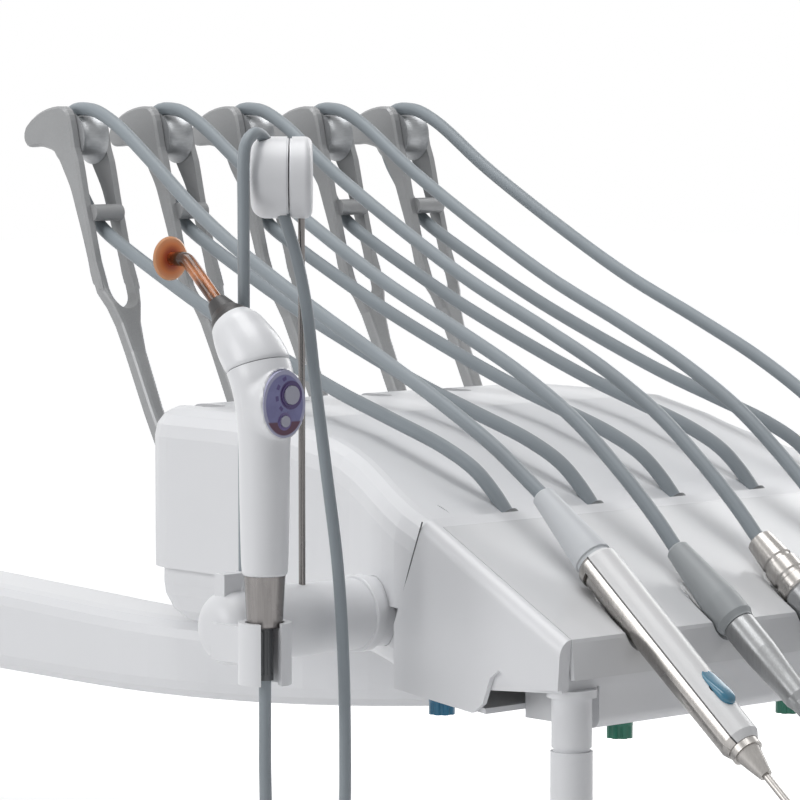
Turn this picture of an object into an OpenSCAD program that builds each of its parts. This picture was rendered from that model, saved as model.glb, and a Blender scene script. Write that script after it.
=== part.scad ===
/* [Support arm] */
// Distance from the rear hub to the head's swivel, sideways
swivel_x = 117; // [100:1:140]
// Distance from the rear hub to the head's swivel, forwards
swivel_y = 520; // [480:1:600]
// Width of the support arm
beam_w = 54; // [46:1:60]
// Height of the support arm at the head
beam_h = 44; // [40:1:50]
// How much higher the arm is at its rear hub
beam_rise = 12; // [6:1:16]
// Radius of the arm's round front end
nose_r = 40; // [38:1:46]
// Radius of the rear hub
hub_r = 43; // [40:1:50]
// Radius of the bore that takes the stand's spigot
spigot_r = 17.5; // [14:0.5:20]
// Depth of that bore
spigot_depth = 60; // [40:1:62]
// Radius of the steel post that the head turns on
post_r = 14; // [11:0.5:16]

/* [Housing] */
// Half the width of the rear block
block_half_w = 161; // [158:1:170]
// Half the width at the instrument tray
front_half_w = 188; // [182:1:200]
// Where the rear wall stands, behind the swivel
rear_y = 136; // [134:1:146]
// Corner radius of the rear block, seen from above
corner_r = 32; // [28:1:34]
// Height of the cover's rear part above the support arm
cover_top_z = 131; // [126:1:138]
// Height of the seam between cover and lower shell
seam_z = 38; // [34:1:42]
// Wall of the moulded shells
wall = 3; // [2.5:0.1:3.5]
// Rounding along the top of the cover
cover_round = 17; // [12:1:20]
// Rounding along the bottom of the lower shell
belly_round = 24; // [18:1:26]
// Height of the underside above the support arm
floor_z = 4; // [3:0.5:5]

/* [Instrument tray] */
// Height of the tray's rear edge
tray_rear_z = 87; // [84:1:92]
// How far the tray drops to its front edge
tray_drop = 54; // [48:1:60]
// Length of the tray from rear edge to front edge
tray_run = 104; // [96:1:112]
// Slope of the instruments in their grooves
rest_slope = 38.66; // [34:0.1:42]
// Radius of the syringe's body
tool_r = 12; // [11:0.1:13]
// Radius of the slimmer instruments
slim_r = 10.8; // [9.8:0.1:11]
// Thickness of the soft mat
mat_t = 2.4; // [2:0.1:3]
// Height of the mat's front lip
lip_h = 21; // [16:1:24]

/* [Whip arms] */
// Distance from one whip arm to the next
arm_pitch = 65; // [62:1:68]
// Thickness of each side rail
rail_t = 5.5; // [4.5:0.1:6.5]
// Gap between the two rails
rail_gap = 19; // [18:0.5:22]
// Radius of the roller's flanges
roller_r = 16; // [15:0.1:16.5]
// Radius of the roller's waist
waist_r = 12.6; // [11:0.1:13]
// Radius of the roller's axle
axle_r = 4; // [3:0.1:5]
// Radius of the cross-bar
crossbar_r = 5; // [4:0.1:5.6]
// Width of the leg at its foot
leg_w = 9.5; // [8.5:0.5:11]
// Radius of the shaft that the whip arms turn on
shaft_r = 6; // [5:0.1:7]

/* [Hoses] */
// Diameter of an instrument hose
hose_d = 8; // [6:0.1:8.4]
// Diameter of the curing light's cord
cord_d = 6.4; // [5:0.1:6.8]

/* [Light holder] */
// Radius of the holder's barrel
barrel_r = 19; // [18:0.5:20]
// How far the turning knuckle stands from the swivel, sideways
knuckle_x = 228; // [224:1:234]
// Length of the turning knuckle
knuckle_len = 63; // [60:1:70]
// Outer radius of the light's cup
cup_r = 13.8; // [13:0.1:14.6]
// Height of the light's cup
cup_h = 32; // [28:1:34]
// Width of the cup's slot
cup_slot = 11; // [9:0.5:13]
// Radius of the steel rod
rod_r = 1.8; // [1.5:0.1:2.2]
// Height of the rod above the holder's barrel
rod_h = 232; // [200:1:240]
// Radius of the cord guide
guide_r = 21.5; // [20:0.5:23]

/* [Curing light] */
// Radius of the light's handle
light_r = 13.5; // [12.8:0.1:14.4]
// Height of the straight part of the handle
light_h = 86; // [80:1:90]
// Radius of the light guide
guide_rod_r = 3.8; // [3:0.1:4.4]
// Radius of the orange shield
shield_r = 11.6; // [10:0.1:13]
// Travel of the light's buttons
key_travel = 0.6; // [0.4:0.1:0.9]

/* [Hidden] */
$fn = 64;

white = "whitesmoke";
cast_grey = [0.56, 0.57, 0.57];
hose_grey = [0.52, 0.56, 0.59];
steel = "silver";

// Clearances: running fits, seated pieces and parts that pass each other
run = 0.05;
seat = 0.3;
pass = 2;
bite = 0.01;

// The head's own frame has its origin on the swivel, in the plane of the support arm's top
head_at = [swivel_x, -swivel_y, beam_h + 8];

module in_head() translate(head_at) children();

function lerp(a, b, t) = a + (b - a) * t;
function smooth(t) = let (s = max(0, min(1, t))) s * s * (3 - 2 * s);
function hinge_curve(t, r) = (t + sqrt(t * t + r * r)) / 2;
function bezier(p, t) =
    let (s = 1 - t)
    s * s * s * p[0] + 3 * s * s * t * p[1] + 3 * s * t * t * p[2] + t * t * t * p[3];
function unit(v) = v / norm(v);

// A closed skin over rings of equal length; a ring runs counter-clockwise seen from the last ring's side
function ring_faces(n, k) = [
    for (i = [0:k - 2], j = [0:n - 1])
        each [
            [i * n + j, (i + 1) * n + j, (i + 1) * n + (j + 1) % n],
            [i * n + j, (i + 1) * n + (j + 1) % n, i * n + (j + 1) % n]
        ]
];

// Fan caps suit a convex ring, and strip caps one whose two halves mirror each other
function fan_caps(n, k) = concat(
    [for (j = [1:n - 2]) [0, j, j + 1]],
    [for (j = [1:n - 2]) [(k - 1) * n, (k - 1) * n + j + 1, (k - 1) * n + j]]
);
function strip_caps(n, k) = [
    for (j = [0:n / 2 - 2])
        each [
            [j, j + 1, n - 2 - j],
            [j, n - 2 - j, n - 1 - j],
            [(k - 1) * n + j, (k - 1) * n + n - 2 - j, (k - 1) * n + j + 1],
            [(k - 1) * n + j, (k - 1) * n + n - 1 - j, (k - 1) * n + n - 2 - j]
        ]
];

module skin(rings, strips = false) {
    n = len(rings[0]);
    k = len(rings);
    caps = strips ? strip_caps(n, k) : fan_caps(n, k);
    polyhedron([for (r = rings) each r], concat(ring_faces(n, k), caps));
}

// Directions across a route, turned as little as possible from ring to ring
function tangent(p, i) =
    unit(p[min(i + 1, len(p) - 1)] - p[max(i - 1, 0)]);
function end_tangent(p, i, first, last) =
    i == 0 && first != undef ? unit(first)
    : i == len(p) - 1 && last != undef ? unit(last)
    : tangent(p, i);
function across(u, t) = unit(u - t * (u * t));
function sides_along(p, first, last, i, u) =
    i == len(p) ? []
    : let (v = across(u, end_tangent(p, i, first, last)))
      concat([v], sides_along(p, first, last, i + 1, v));

module tube(p, d, sides, start_side, first, last) {
    us = sides_along(p, first, last, 0, start_side);
    rings = [
        for (i = [0:len(p) - 1])
            let (t = end_tangent(p, i, first, last), v = cross(t, us[i]))
            [for (a = [0:360 / sides:359]) p[i] + d / 2 * (us[i] * cos(a) + v * sin(a))]
    ];
    skin(rings);
}

// Support arm: the centreline leaves the swivel sideways and ends straight at the rear hub
beam_turn = [
    [0, 0],
    [-0.64 * swivel_x, 0.09 * swivel_y],
    [-swivel_x, 0.2 * swivel_y],
    [-swivel_x, 0.44 * swivel_y]
];
beam_steps = 14;
beam_points = concat(
    [for (i = [0:beam_steps]) bezier(beam_turn, i / beam_steps)],
    [[-swivel_x, 0.7 * swivel_y], [-swivel_x, swivel_y]]
);
beam_fillet = 11;
hub_top = beam_rise + 12;
hub_bottom = -beam_h - 8;
cap_t = 4;
post_flange = 20;
post_flange_t = floor_z - 0.6;

function beam_ring(i) =
    let (
        t = tangent(beam_points, i),
        side = [-t[1], t[0]],
        c = beam_points[i],
        h = beam_h / 2 + beam_rise / 2 * smooth(c[1] / (0.8 * swivel_y)),
        mid = h - beam_h
    )
    [
        for (q = [0:3], a = [0:30:90])
            let (
                w = (q == 0 || q == 3 ? 1 : -1) * (beam_w / 2 - beam_fillet),
                z = (q < 2 ? 1 : -1) * (h - beam_fillet),
                s = w + beam_fillet * cos(q * 90 + a),
                up = z + beam_fillet * sin(q * 90 + a)
            )
            [c[0] + side[0] * s, c[1] + side[1] * s, mid + up]
    ];

module hub_profile(r, low, high, edge) {
    rotate_extrude() {
        translate([0, low]) square([r - edge, high - low]);
        translate([0, low + edge]) square([r, high - low - 2 * edge]);
        translate([r - edge, low + edge]) circle(edge);
        translate([r - edge, high - edge]) circle(edge);
    }
}

module support_arm() {
    color(white) difference() {
        union() {
            skin([for (i = [0:len(beam_points) - 1]) beam_ring(i)]);
            hub_profile(nose_r, -beam_h, 0, 8);
            translate([-swivel_x, swivel_y, 0]) hub_profile(hub_r, hub_bottom, hub_top, 6);
        }
        translate([0, 0, -beam_h + cap_t]) cylinder(r = post_r + run, h = beam_h);
        translate([0, 0, -beam_h - bite]) cylinder(r = nose_r - 12, h = cap_t + 2 * bite);
        translate([0, 0, -post_flange_t]) cylinder(r = post_flange + 0.1, h = post_flange_t + 1);
        translate([-swivel_x, swivel_y, hub_bottom - bite]) {
            cylinder(r = spigot_r, h = spigot_depth + bite);
        }
        translate([-swivel_x, swivel_y, hub_top - cap_t]) cylinder(r = hub_r - 12, h = cap_t + 1);
    }
}

// The post stands in the arm, its flange lies in the arm's top and the head turns on the upper part
post_top = 40;
module swivel_post() {
    color(steel) {
        translate([0, 0, -beam_h + cap_t + bite]) cylinder(r = post_r, h = beam_h - cap_t + post_top);
        translate([0, 0, -post_flange_t + bite]) cylinder(r = post_flange, h = post_flange_t - bite);
    }
}

module arm_caps() {
    color(white) {
        translate([0, 0, -beam_h]) cylinder(r = nose_r - 12 - seat, h = cap_t - bite);
        translate([-swivel_x, swivel_y, hub_top - cap_t + bite]) {
            hub_profile(hub_r - 12 - seat, 0, cap_t + 2, 1.5);
        }
    }
}

// Housing: half the plan outline from front to rear, drawn in by d
flare_rear_y = -35;
flare_front_y = -138;
seam_top = [-145, tray_rear_z];
seam_low = [-122, 29];
seam_gap = 0.4;
function half_width(y) =
    lerp(block_half_w, front_half_w, smooth((flare_rear_y - y) / (flare_rear_y - flare_front_y)));
plan_ys = [-135, -120, -105, -90, -75, -60, -45, -30, 10, 55];
function half_plan(d, front_y) = concat(
    [
        for (y = concat([front_y], [for (v = plan_ys) if (v > front_y + 3) v]))
            [half_width(y) - d, y]
    ],
    [
        for (a = [0:15:90])
            [block_half_w - corner_r + (corner_r - d) * cos(a), rear_y - corner_r + (corner_r - d) * sin(a)]
    ]
);
function plan_ring(half, heights) =
    let (n = len(half))
    concat(
        [for (i = [0:n - 1]) [half[i][0], half[i][1], heights[i]]],
        [for (i = [n - 1:-1:0]) [-half[i][0], half[i][1], heights[i]]]
    );

// Heights along the length: the cover's top falls to the tray, and the underside falls to the front
fall_start = -2;
fall_slope = 0.335;
fall_soft = 20;
function cover_top(y) = cover_top_z - fall_slope * hinge_curve(fall_start - y, fall_soft);
belly_start = -38;
belly_slope = 0.105;
function belly(y) = floor_z - belly_slope * max(0, belly_start - y);
shell_step = 5;

module cover_solid(d, low, front_y) {
    rings = [
        for (a = [-1, 0, 25, 50, 75, 90])
            let (
                inset = a < 0 ? d : d + (cover_round - d) * (1 - cos(a)),
                half = half_plan(inset, front_y),
                down = d + (cover_round - d) * (1 - sin(a))
            )
            plan_ring(half, [for (p = half) a < 0 ? low : cover_top(p[1]) - down])
    ];
    skin(rings, true);
}

module belly_solid(d, high, front_y) {
    inset = shell_step + d;
    rings = [
        for (a = [90, 65, 40, 15, 0, -1])
            let (
                in = inset + (a < 0 ? 0 : (belly_round - d) * (1 - cos(a))),
                half = half_plan(in, front_y)
            )
            plan_ring(
                half,
                [for (p = half) a < 0 ? high : belly(p[1]) + d + (belly_round - d) * (1 - sin(a))]
            )
    ];
    skin(rings, true);
}

// Everything in front of the slanted seam, moved back by gap
module ahead_of_seam(gap) {
    steep = (seam_low[0] - seam_top[0]) / (seam_top[1] - seam_low[1]);
    top_y = seam_top[0] - steep * 60 + gap;
    translate([-250, 0, 0]) rotate([90, 0, 90]) linear_extrude(500) polygon([
        [top_y, seam_top[1] + 60],
        [seam_low[0] + gap, seam_low[1]],
        [seam_low[0] + gap, -60],
        [-330, -60],
        [-330, seam_top[1] + 60]
    ]);
}

// Whip arms stand in the rear block: pivot, cross-bar and roller, in the head's frame
pivot = [120, 76];
crossbar = [200, 241];
roller_at = crossbar + [24.5, 44.5];
function arm_x(i) = (i - 3) * arm_pitch;
arm_w = rail_gap + 2 * rail_t;
boss_r = shaft_r + 5;
boss_w = 12;
slot_w = leg_w + 5;
slot_front = 92;
slot_low = 53;
block_w = 12;
block_xs = [for (i = [-1.5, -0.5, 0.5, 1.5]) i * arm_pitch];
end_block_x = 2 * arm_pitch + boss_w / 2 + 1.5;
end_block_w = 7;
stop_rail = [[104, 112], [57, 64]];

// The trough behind the tray, where the hoses go in
trough_half = 2 * arm_pitch + 26;
trough_rear = -121;
trough_floor = 72;
hose_shift = 13;

module trough(grow) {
    translate([-trough_half - grow, -170, trough_floor - grow]) {
        cube([2 * (trough_half + grow), 170 + trough_rear + grow, 60]);
    }
}

module barrel_hole(gap) {
    translate([-front_half_w - 20, holder_y, holder_z]) rotate([0, 90, 0]) {
        cylinder(r = barrel_r + gap, h = front_half_w + 20 - barrel_inner);
    }
}

module lower_shell() {
    color(white) difference() {
        belly_solid(0, seam_z, seam_low[0] + seam_gap);
        difference() {
            belly_solid(wall, seam_z + 1, seam_low[0] + seam_gap - 1);
            for (x = [-1, 1], y = [-48, 60]) {
                translate([x * 60, y, 0]) cylinder(r = 9, h = plate_z - bite);
            }
        }
        translate([0, 0, -20]) cylinder(r = boss_out + seat, h = 40);
        barrel_hole(seat);
    }
}

module upper_cover() {
    color(white) difference() {
        cover_solid(0, seam_z + bite, -165);
        difference() {
            cover_solid(wall, seam_z - 1, -166);
            trough(wall);
        }
        ahead_of_seam(seam_gap);
        trough(0);
        for (i = [1:5]) {
            translate([arm_x(i) - slot_w / 2, slot_front + slot_w / 2, slot_low]) {
                cube([slot_w, 80, 120]);
            }
            translate([arm_x(i), slot_front + slot_w / 2, slot_low]) cylinder(d = slot_w, h = 120);
        }
        barrel_hole(seat);
    }
}

// Inside: a plate on the lower shell's studs, bearing blocks for the arm shaft and a boss for the swivel
plate_z = 20;
plate_t = 4;
plate_edge = 3.5;
plate_half = end_block_x + end_block_w + plate_edge;
boss_out = post_r + 12;
module arm_chassis() {
    plate_rear = rear_y - 26;
    color(steel) difference() {
        union() {
            translate([-plate_half, -60, plate_z]) cube([2 * plate_half, plate_rear + 60, plate_t]);
            for (x = block_xs) translate([x - block_w / 2, pivot[0] - 14, plate_z]) bearing_block(block_w, boss_r);
            for (x = [-1, 1]) {
                translate([x * (end_block_x + end_block_w / 2) - end_block_w / 2, pivot[0] - 14, plate_z]) {
                    bearing_block(end_block_w, shaft_r + 2);
                }
            }
            translate([-end_block_x - bite, stop_rail[0][0], stop_rail[1][0]]) {
                cube([2 * end_block_x, stop_rail[0][1] - stop_rail[0][0], stop_rail[1][1] - stop_rail[1][0]]);
            }
            translate([0, 0, floor_z + 2]) cylinder(r = boss_out, h = post_top - floor_z - 2);
            translate([-barrel_inner, holder_y - 12, plate_z]) cube([5, 24, holder_z - plate_z + 12]);
            translate([-barrel_inner, holder_y - 12, plate_z]) cube([40, 24, plate_t]);
            translate([-plate_half, holder_y - 12, plate_z]) cube([30, -48 - holder_y, plate_t]);
        }
        translate([0, 0, -1]) cylinder(r = post_r + 4, h = 60);
        translate([-200, pivot[0], pivot[1]]) rotate([0, 90, 0]) cylinder(r = shaft_r + run, h = 400);
    }
}

module bearing_block(w, eye_r) {
    translate([0, 2, 0]) cube([w, eye_r, pivot[1] - plate_z]);
    translate([0, 14, pivot[1] - plate_z]) rotate([0, 90, 0]) cylinder(r = eye_r, h = w);
}

module swivel_bush() {
    color("goldenrod") difference() {
        union() {
            translate([0, 0, seat]) cylinder(r = post_r + 4 - run, h = post_top - seat);
            translate([0, 0, seat]) cylinder(r = post_r + 9, h = floor_z + 2 - seat);
        }
        translate([0, 0, -1]) cylinder(r = post_r + run, h = 60);
    }
}

module arm_shaft() {
    half = end_block_x + end_block_w;
    color(steel) translate([-half, pivot[0], pivot[1]]) rotate([0, 90, 0]) {
        cylinder(r = shaft_r, h = 2 * half);
    }
}

// Each return spring is a sleeve round the shaft, between an arm's boss and the next block
module return_springs() {
    color("dimgray") for (i = [1:5]) {
        translate([arm_x(i) + (i < 3 ? 1 : -1) * (boss_w / 2 + seat), pivot[0], pivot[1]]) {
            rotate([0, i < 3 ? 90 : -90, 0]) difference() {
                cylinder(r = shaft_r + 3.5, h = 18);
                translate([0, 0, -1]) cylinder(r = shaft_r + 0.4, h = 20);
            }
        }
    }
}

// Whip arm: side profile of a rail with its rear beak, drawn from the cross-bar
rail_path = [
    [-5.4, -42.5], [-0.5, -28.6], [5.5, -12], [10.4, 0], [15.3, 12.1], [19, 18.6], [22.7, 24.2],
    [27.4, 31.2], [32, 36], [39, 38.2], [46.7, 39.2], [54, 38.6], [59.2, 39.6], [61.9, 44],
    [60, 51.2], [49.5, 58.2], [39, 61.8], [29, 63.3], [22, 62.6], [17.4, 58.2], [14.8, 50],
    [12.2, 39], [8.6, 30.4], [4.9, 16], [2.2, 5.5], [-1.1, -4.5], [-8.2, -28.5], [-15, -45.5]
];
function spline(p, i, t) =
    let (
        n = len(p),
        a = p[(i + n - 1) % n],
        b = p[i],
        c = p[(i + 1) % n],
        d = p[(i + 2) % n]
    )
    b + t / 2 * (c - a + t * (2 * a - 5 * b + 4 * c - d + t * (3 * (b - c) + d - a)));
rail_outline = [for (i = [0:len(rail_path) - 1], t = [0, 0.5]) spline(rail_path, i, t)];

// The outline drawn in by d, and a rail whose outer edges are bevelled
rail_bevel = 1.4;
function outline_in(p, d) = [
    for (i = [0:len(p) - 1])
        let (t = unit(p[(i + 1) % len(p)] - p[(i + len(p) - 1) % len(p)]))
        p[i] + d * [-t[1], t[0]]
];
module rail(side) {
    inner = side * rail_gap / 2;
    outer = side * arm_w / 2;
    drawn_in = outline_in(rail_outline, rail_bevel);
    layers = [
        [for (p = rail_outline) [inner, p[0], p[1]]],
        [for (p = rail_outline) [outer - side * rail_bevel, p[0], p[1]]],
        [for (p = drawn_in) [outer, p[0], p[1]]]
    ];
    skin(side > 0 ? layers : [layers[2], layers[1], layers[0]], true);
}

// Leg below the slot: centre, width and depth of each section
leg_sections = [
    [[-8.6, -38.5], arm_w - 0.1, 7.4],
    [[-11.4, -46], arm_w - 1.6, 8],
    [[-17, -55], 21.5, 8.8],
    [[-21, -66], 14.6, 9.2],
    [[-28.2, -83], leg_w + 1.2, 9.4],
    [[-44.6, -116], leg_w, 9.6],
    [[-59.1, -141], leg_w, 9.8],
    [[-71, -155], leg_w, 10],
    [[-79, -163], leg_w, 12]
];
fork_z = -47;
function leg_ring(i) =
    let (
        s = leg_sections[i],
        a = leg_sections[max(0, i - 1)][0],
        b = leg_sections[min(len(leg_sections) - 1, i + 1)][0],
        down = unit(b - a),
        out = [down[1], -down[0]],
        r = 2.2
    )
    [
        for (q = [0:3], k = [0, 45, 90])
            let (
                x = (q == 0 || q == 3 ? 1 : -1) * (s[1] / 2 - r) + r * cos(q * 90 + k),
                e = (q < 2 ? 1 : -1) * (s[2] / 2 - r) + r * sin(q * 90 + k)
            )
            [x, s[0][0] + out[0] * e, s[0][1] + out[1] * e]
    ];

module at_arm(i) translate([arm_x(i), crossbar[0], crossbar[1]]) children();

module whip_arm(i) {
    foot = pivot - crossbar;
    axle = roller_at - crossbar;
    color(cast_grey) at_arm(i) {
        difference() {
            union() {
                for (side = [-1, 1]) rail(side);
                difference() {
                    skin([for (k = [0:len(leg_sections) - 1]) leg_ring(k)]);
                    translate([-rail_gap / 2, -40, fork_z]) cube([rail_gap, 60, 30]);
                    translate([0, 20, fork_z]) rotate([90, 0, 0]) cylinder(d = rail_gap, h = 60);
                }
                translate([-rail_gap / 2 - 1, 0, 0]) rotate([0, 90, 0]) cylinder(r = crossbar_r, h = rail_gap + 2);
                translate([-boss_w / 2, foot[0], foot[1]]) rotate([0, 90, 0]) cylinder(r = boss_r, h = boss_w);
                translate([-leg_w / 2, stop_rail[0][1] + seat - crossbar[0], stop_rail[1][0] + 1 - crossbar[1]]) {
                    cube([leg_w, pivot[0] - stop_rail[0][1] - seat, pivot[1] - stop_rail[1][0] - 4]);
                }
            }
            translate([-20, foot[0], foot[1]]) rotate([0, 90, 0]) cylinder(r = shaft_r + run, h = 40);
            translate([-rail_gap / 2, axle[0], axle[1]]) rotate([0, 90, 0]) cylinder(r = axle_r + run, h = 60);
        }
        translate([-rail_gap / 2 - 2, axle[0], axle[1]]) rotate([0, 90, 0]) {
            cylinder(r = axle_r, h = rail_gap + rail_t + 2);
        }
    }
}

// Roller: an hourglass between the rails, turning on the axle
module roller(i) {
    half = rail_gap / 2 - seat;
    dip = roller_r - waist_r;
    curve_r = (half * half + dip * dip) / (2 * dip);
    color("silver") translate([arm_x(i), roller_at[0], roller_at[1]]) rotate([0, 90, 0]) {
        rotate_extrude() difference() {
            translate([axle_r + run, -half]) square([roller_r - axle_r - run, 2 * half]);
            translate([waist_r + curve_r, 0]) circle(curve_r, $fn = 96);
        }
    }
}

// Tray: its plane, the seat of the instruments and the shell's side profile
tray_rear = [-145, tray_rear_z];
tray_front = tray_rear - [tray_run, tray_drop];
tray_angle = atan(tray_drop / tray_run);
function tray_z(y) = tray_rear[1] - (tray_rear[0] - y) * tray_drop / tray_run;
mat_half = front_half_w - 8;
groove_gap = 0.4;
groove_r = tool_r + groove_gap;
cradle_t = 3;
// The point where an instrument's axis crosses the middle of the tray
rest_at = [-216, 66];
function along(s) = rest_at + s * [-cos(rest_slope), -sin(rest_slope)];
module at_groove(i) {
    translate([arm_x(i), rest_at[0], rest_at[1]]) rotate([90 + rest_slope, 0, 0]) children();
}

// Slimmer instruments lie that much deeper in their grooves
function tool_drop(i) = i == 1 ? 0 : tool_r - slim_r;
module at_tool(i) at_groove(i) translate([0, -tool_drop(i), 0]) children();
panel_low = 6;
scoop_top = 13;
front_low = panel_low + 1;

module tray_shell() {
    color(white) difference() {
        intersection() {
            union() {
                difference() {
                    translate([-front_half_w, 0, 0]) rotate([90, 0, 90]) {
                        linear_extrude(2 * front_half_w) tray_outline(0);
                    }
                    translate([-front_half_w + wall, 0, 0]) rotate([90, 0, 90]) {
                        linear_extrude(2 * (front_half_w - wall)) tray_outline(wall);
                    }
                }
                intersection() {
                    for (i = [1:5]) at_groove(i) translate([0, 0, -60]) cylinder(r = groove_r + cradle_t, h = 140);
                    translate([-front_half_w, 0, 0]) rotate([90, 0, 90]) {
                        linear_extrude(2 * front_half_w) tray_outline(0.5);
                    }
                }
                for (x = [-1, 1]) {
                    translate([x * (front_half_w - wall - 12.5) - 13, tray_front[0] + 1.5, panel_low]) {
                        cube([26, 20, 23]);
                    }
                }
            }
            shoulder_block();
        }
        ahead_cut();
        mat_pocket();
        for (i = [1:5]) at_groove(i) translate([0, 0, -60]) cylinder(r = groove_r + mat_liner, h = 160);
        for (i = [1:5]) gland_hole(i, gland_r + 0.1);
    }
}
mat_liner = 1;

// Side outline of the tray shell, drawn in by w and open below where w is above zero
module tray_outline(w) {
    low = w > 0 ? 30 : 0;
    up = w / cos(tray_angle);
    polygon([
        [tray_rear[0] + w * 1.1, tray_rear[1] - up + w * 0.4],
        [tray_front[0] + w, tray_z(tray_front[0] + w) - up],
        [tray_front[0] + 2 + w, front_low - low],
        [-229, panel_low - low],
        [-212, scoop_top - 3 - low],
        [-203, scoop_top - low],
        [-197, scoop_top - 4 - low],
        [-191, belly(-190) + 6 - low],
        [-183, belly(-183) - low],
        [seam_low[0] + w, belly(seam_low[0]) - low],
        [seam_low[0] + w, seam_low[1]]
    ]);
}

// Rounds the shoulders between the tray's sides and its sloping top
module shoulder_block() {
    r = 8;
    w = front_half_w;
    translate([0, tray_rear[0], tray_rear[1]]) rotate([tray_angle, 0, 0]) rotate([90, 0, 0]) {
        translate([0, 0, -60]) linear_extrude(240) {
            translate([-w, -250]) square([2 * w, 250 - r]);
            translate([-w + r, -r - 1]) square([2 * (w - r), r + 1]);
            for (x = [-1, 1]) translate([x * (w - r), -r]) circle(r);
        }
    }
}

module ahead_cut() {
    difference() {
        translate([-260, seam_top[0] - 60, -60]) cube([520, 200, 240]);
        ahead_of_seam(0);
    }
}

// The mat lies in a shallow pocket and hangs over the front edge as a lip
mat_rear_gap = 7;
module mat_body(half, thick, low) {
    c = thick / cos(tray_angle);
    translate([-half, 0, 0]) rotate([90, 0, 90]) linear_extrude(2 * half) polygon([
        [tray_rear[0] - mat_rear_gap, tray_z(tray_rear[0] - mat_rear_gap)],
        [tray_front[0], tray_front[1]],
        [tray_front[0] - 0.6, tray_front[1] - 2],
        [tray_front[0] - 2, tray_front[1] - lip_h - low],
        [tray_front[0] + thick - 2, tray_front[1] - lip_h - low],
        [tray_front[0] + thick, tray_front[1] - 2 - c],
        [tray_rear[0] - mat_rear_gap, tray_z(tray_rear[0] - mat_rear_gap) - c]
    ]);
}

module mat_pocket() {
    mat_body(mat_half + seat, mat_t, 30);
    translate([-mat_half - seat, tray_front[0] - 10, -30]) {
        cube([2 * (mat_half + seat), 10 + mat_t, 30 + tray_front[1] - 3]);
    }
}

module tray_mat() {
    color("gainsboro") difference() {
        union() {
            mat_body(mat_half, mat_t - bite, 0);
            intersection() {
                for (i = [1:5]) {
                    at_groove(i) translate([0, 0, -60]) cylinder(r = groove_r + mat_liner - bite, h = 120);
                }
                mat_under();
            }
        }
        for (i = [1:5]) at_groove(i) translate([0, 0, -80]) cylinder(r = groove_r, h = 200);
    }
}

module mat_under() {
    translate([-mat_half, 0, 0]) rotate([90, 0, 90]) linear_extrude(2 * mat_half) polygon([
        [tray_rear[0] - mat_rear_gap, tray_z(tray_rear[0] - mat_rear_gap)],
        [tray_front[0] + 0.5, tray_front[1]],
        [tray_front[0] + 0.5, tray_front[1] - 18],
        [tray_rear[0] - mat_rear_gap, tray_z(tray_rear[0] - mat_rear_gap) - 18]
    ]);
}

// Handle that hangs from the tray's front corner, beside the panel
handle_inset = 17;
handle_r = 10.5;
handle_collar = 2.5;
handle_len = 96;
handle_at = [handle_inset - front_half_w, -240];

// Panel below the mat's lip, which closes the housing in front and below
handle_gap = 2;
panel_half = front_half_w - handle_inset - handle_r - handle_collar - handle_gap;
panel_front = tray_front[0] + 4;
panel_rear = -190;
panel_bottom = -16;
panel_top = tray_front[1] - lip_h - 1;
panel_skin = 3;
module front_panel() {
    r = 6;
    plate = front_half_w - wall - seat;
    rear = seam_low[0] - seat;
    color(white) difference() {
        union() {
            translate([-panel_half, 0, 0]) rotate([90, 0, 90]) linear_extrude(2 * panel_half) {
                translate([panel_front + r, panel_bottom]) {
                    square([panel_rear - panel_front - r, panel_top - panel_bottom]);
                }
                translate([panel_front, panel_bottom + r]) square([r + 1, panel_top - panel_bottom - r]);
                translate([panel_front + r, panel_bottom + r]) circle(r);
            }
            translate([-plate, 0, 0]) rotate([90, 0, 90]) linear_extrude(2 * plate) polygon([
                [panel_rear, belly(panel_rear) + 0.5],
                [rear, belly(rear) + 0.5],
                [rear, belly(rear) + 0.5 + panel_skin],
                [panel_rear, belly(panel_rear) + 0.5 + panel_skin]
            ]);
        }
        translate([-panel_half + wall, panel_front + wall, panel_bottom + wall]) {
            cube([2 * (panel_half - wall), panel_rear - panel_front - 2 * wall, 60]);
        }
        for (k = green_knobs) translate([k[0], k[1], panel_bottom - 1]) cylinder(r = knob_stem + run, h = 10);
        translate([blue_knob[0], blue_knob[1], -40]) cylinder(r = knob_stem + run, h = 60);
    }
}

// Flow knobs under the housing: a fluted cap on a stem
knob_r = 7;
knob_h = 9;
knob_stem = 3;
blue_inset = 12;
blue_knob = [blue_inset - front_half_w, -147];
green_inset = 31;
green_knobs = [for (k = [0, 2]) [green_inset - panel_half + k * arm_pitch, -229]];
module knob(colour, base) {
    color(colour) {
        translate([0, 0, base - seat - knob_h]) difference() {
            cylinder(r = knob_r, h = knob_h);
            for (a = [0:45:359]) rotate([0, 0, a]) translate([knob_r + 0.7, 0, -1]) {
                cylinder(r = 1.7, h = knob_h - 1.5);
            }
        }
        translate([0, 0, base - seat - bite]) cylinder(r = knob_stem, h = wall + 6);
    }
}

// Hose glands: plugs in the tray shell's slanted rear wall
gland_tilt = 38;
gland_at = [-141.5, 79];
gland_r = 6;
gland_out = 7;
gland_in = 9;
function gland_dir() = [0, cos(gland_tilt), sin(gland_tilt)];
module gland_hole(i, r) {
    translate([arm_x(i) + hose_shift, gland_at[0], gland_at[1]]) rotate([gland_tilt - 90, 0, 0]) {
        translate([0, 0, -gland_in - 3]) cylinder(r = r, h = gland_in + gland_out + 8);
    }
}
module hose_glands() {
    color("dimgray") for (i = [1:5]) {
        translate([arm_x(i) + hose_shift, gland_at[0], gland_at[1]]) rotate([gland_tilt - 90, 0, 0]) {
            translate([0, 0, -gland_in]) cylinder(r = gland_r, h = gland_in + gland_out);
        }
    }
}

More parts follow.
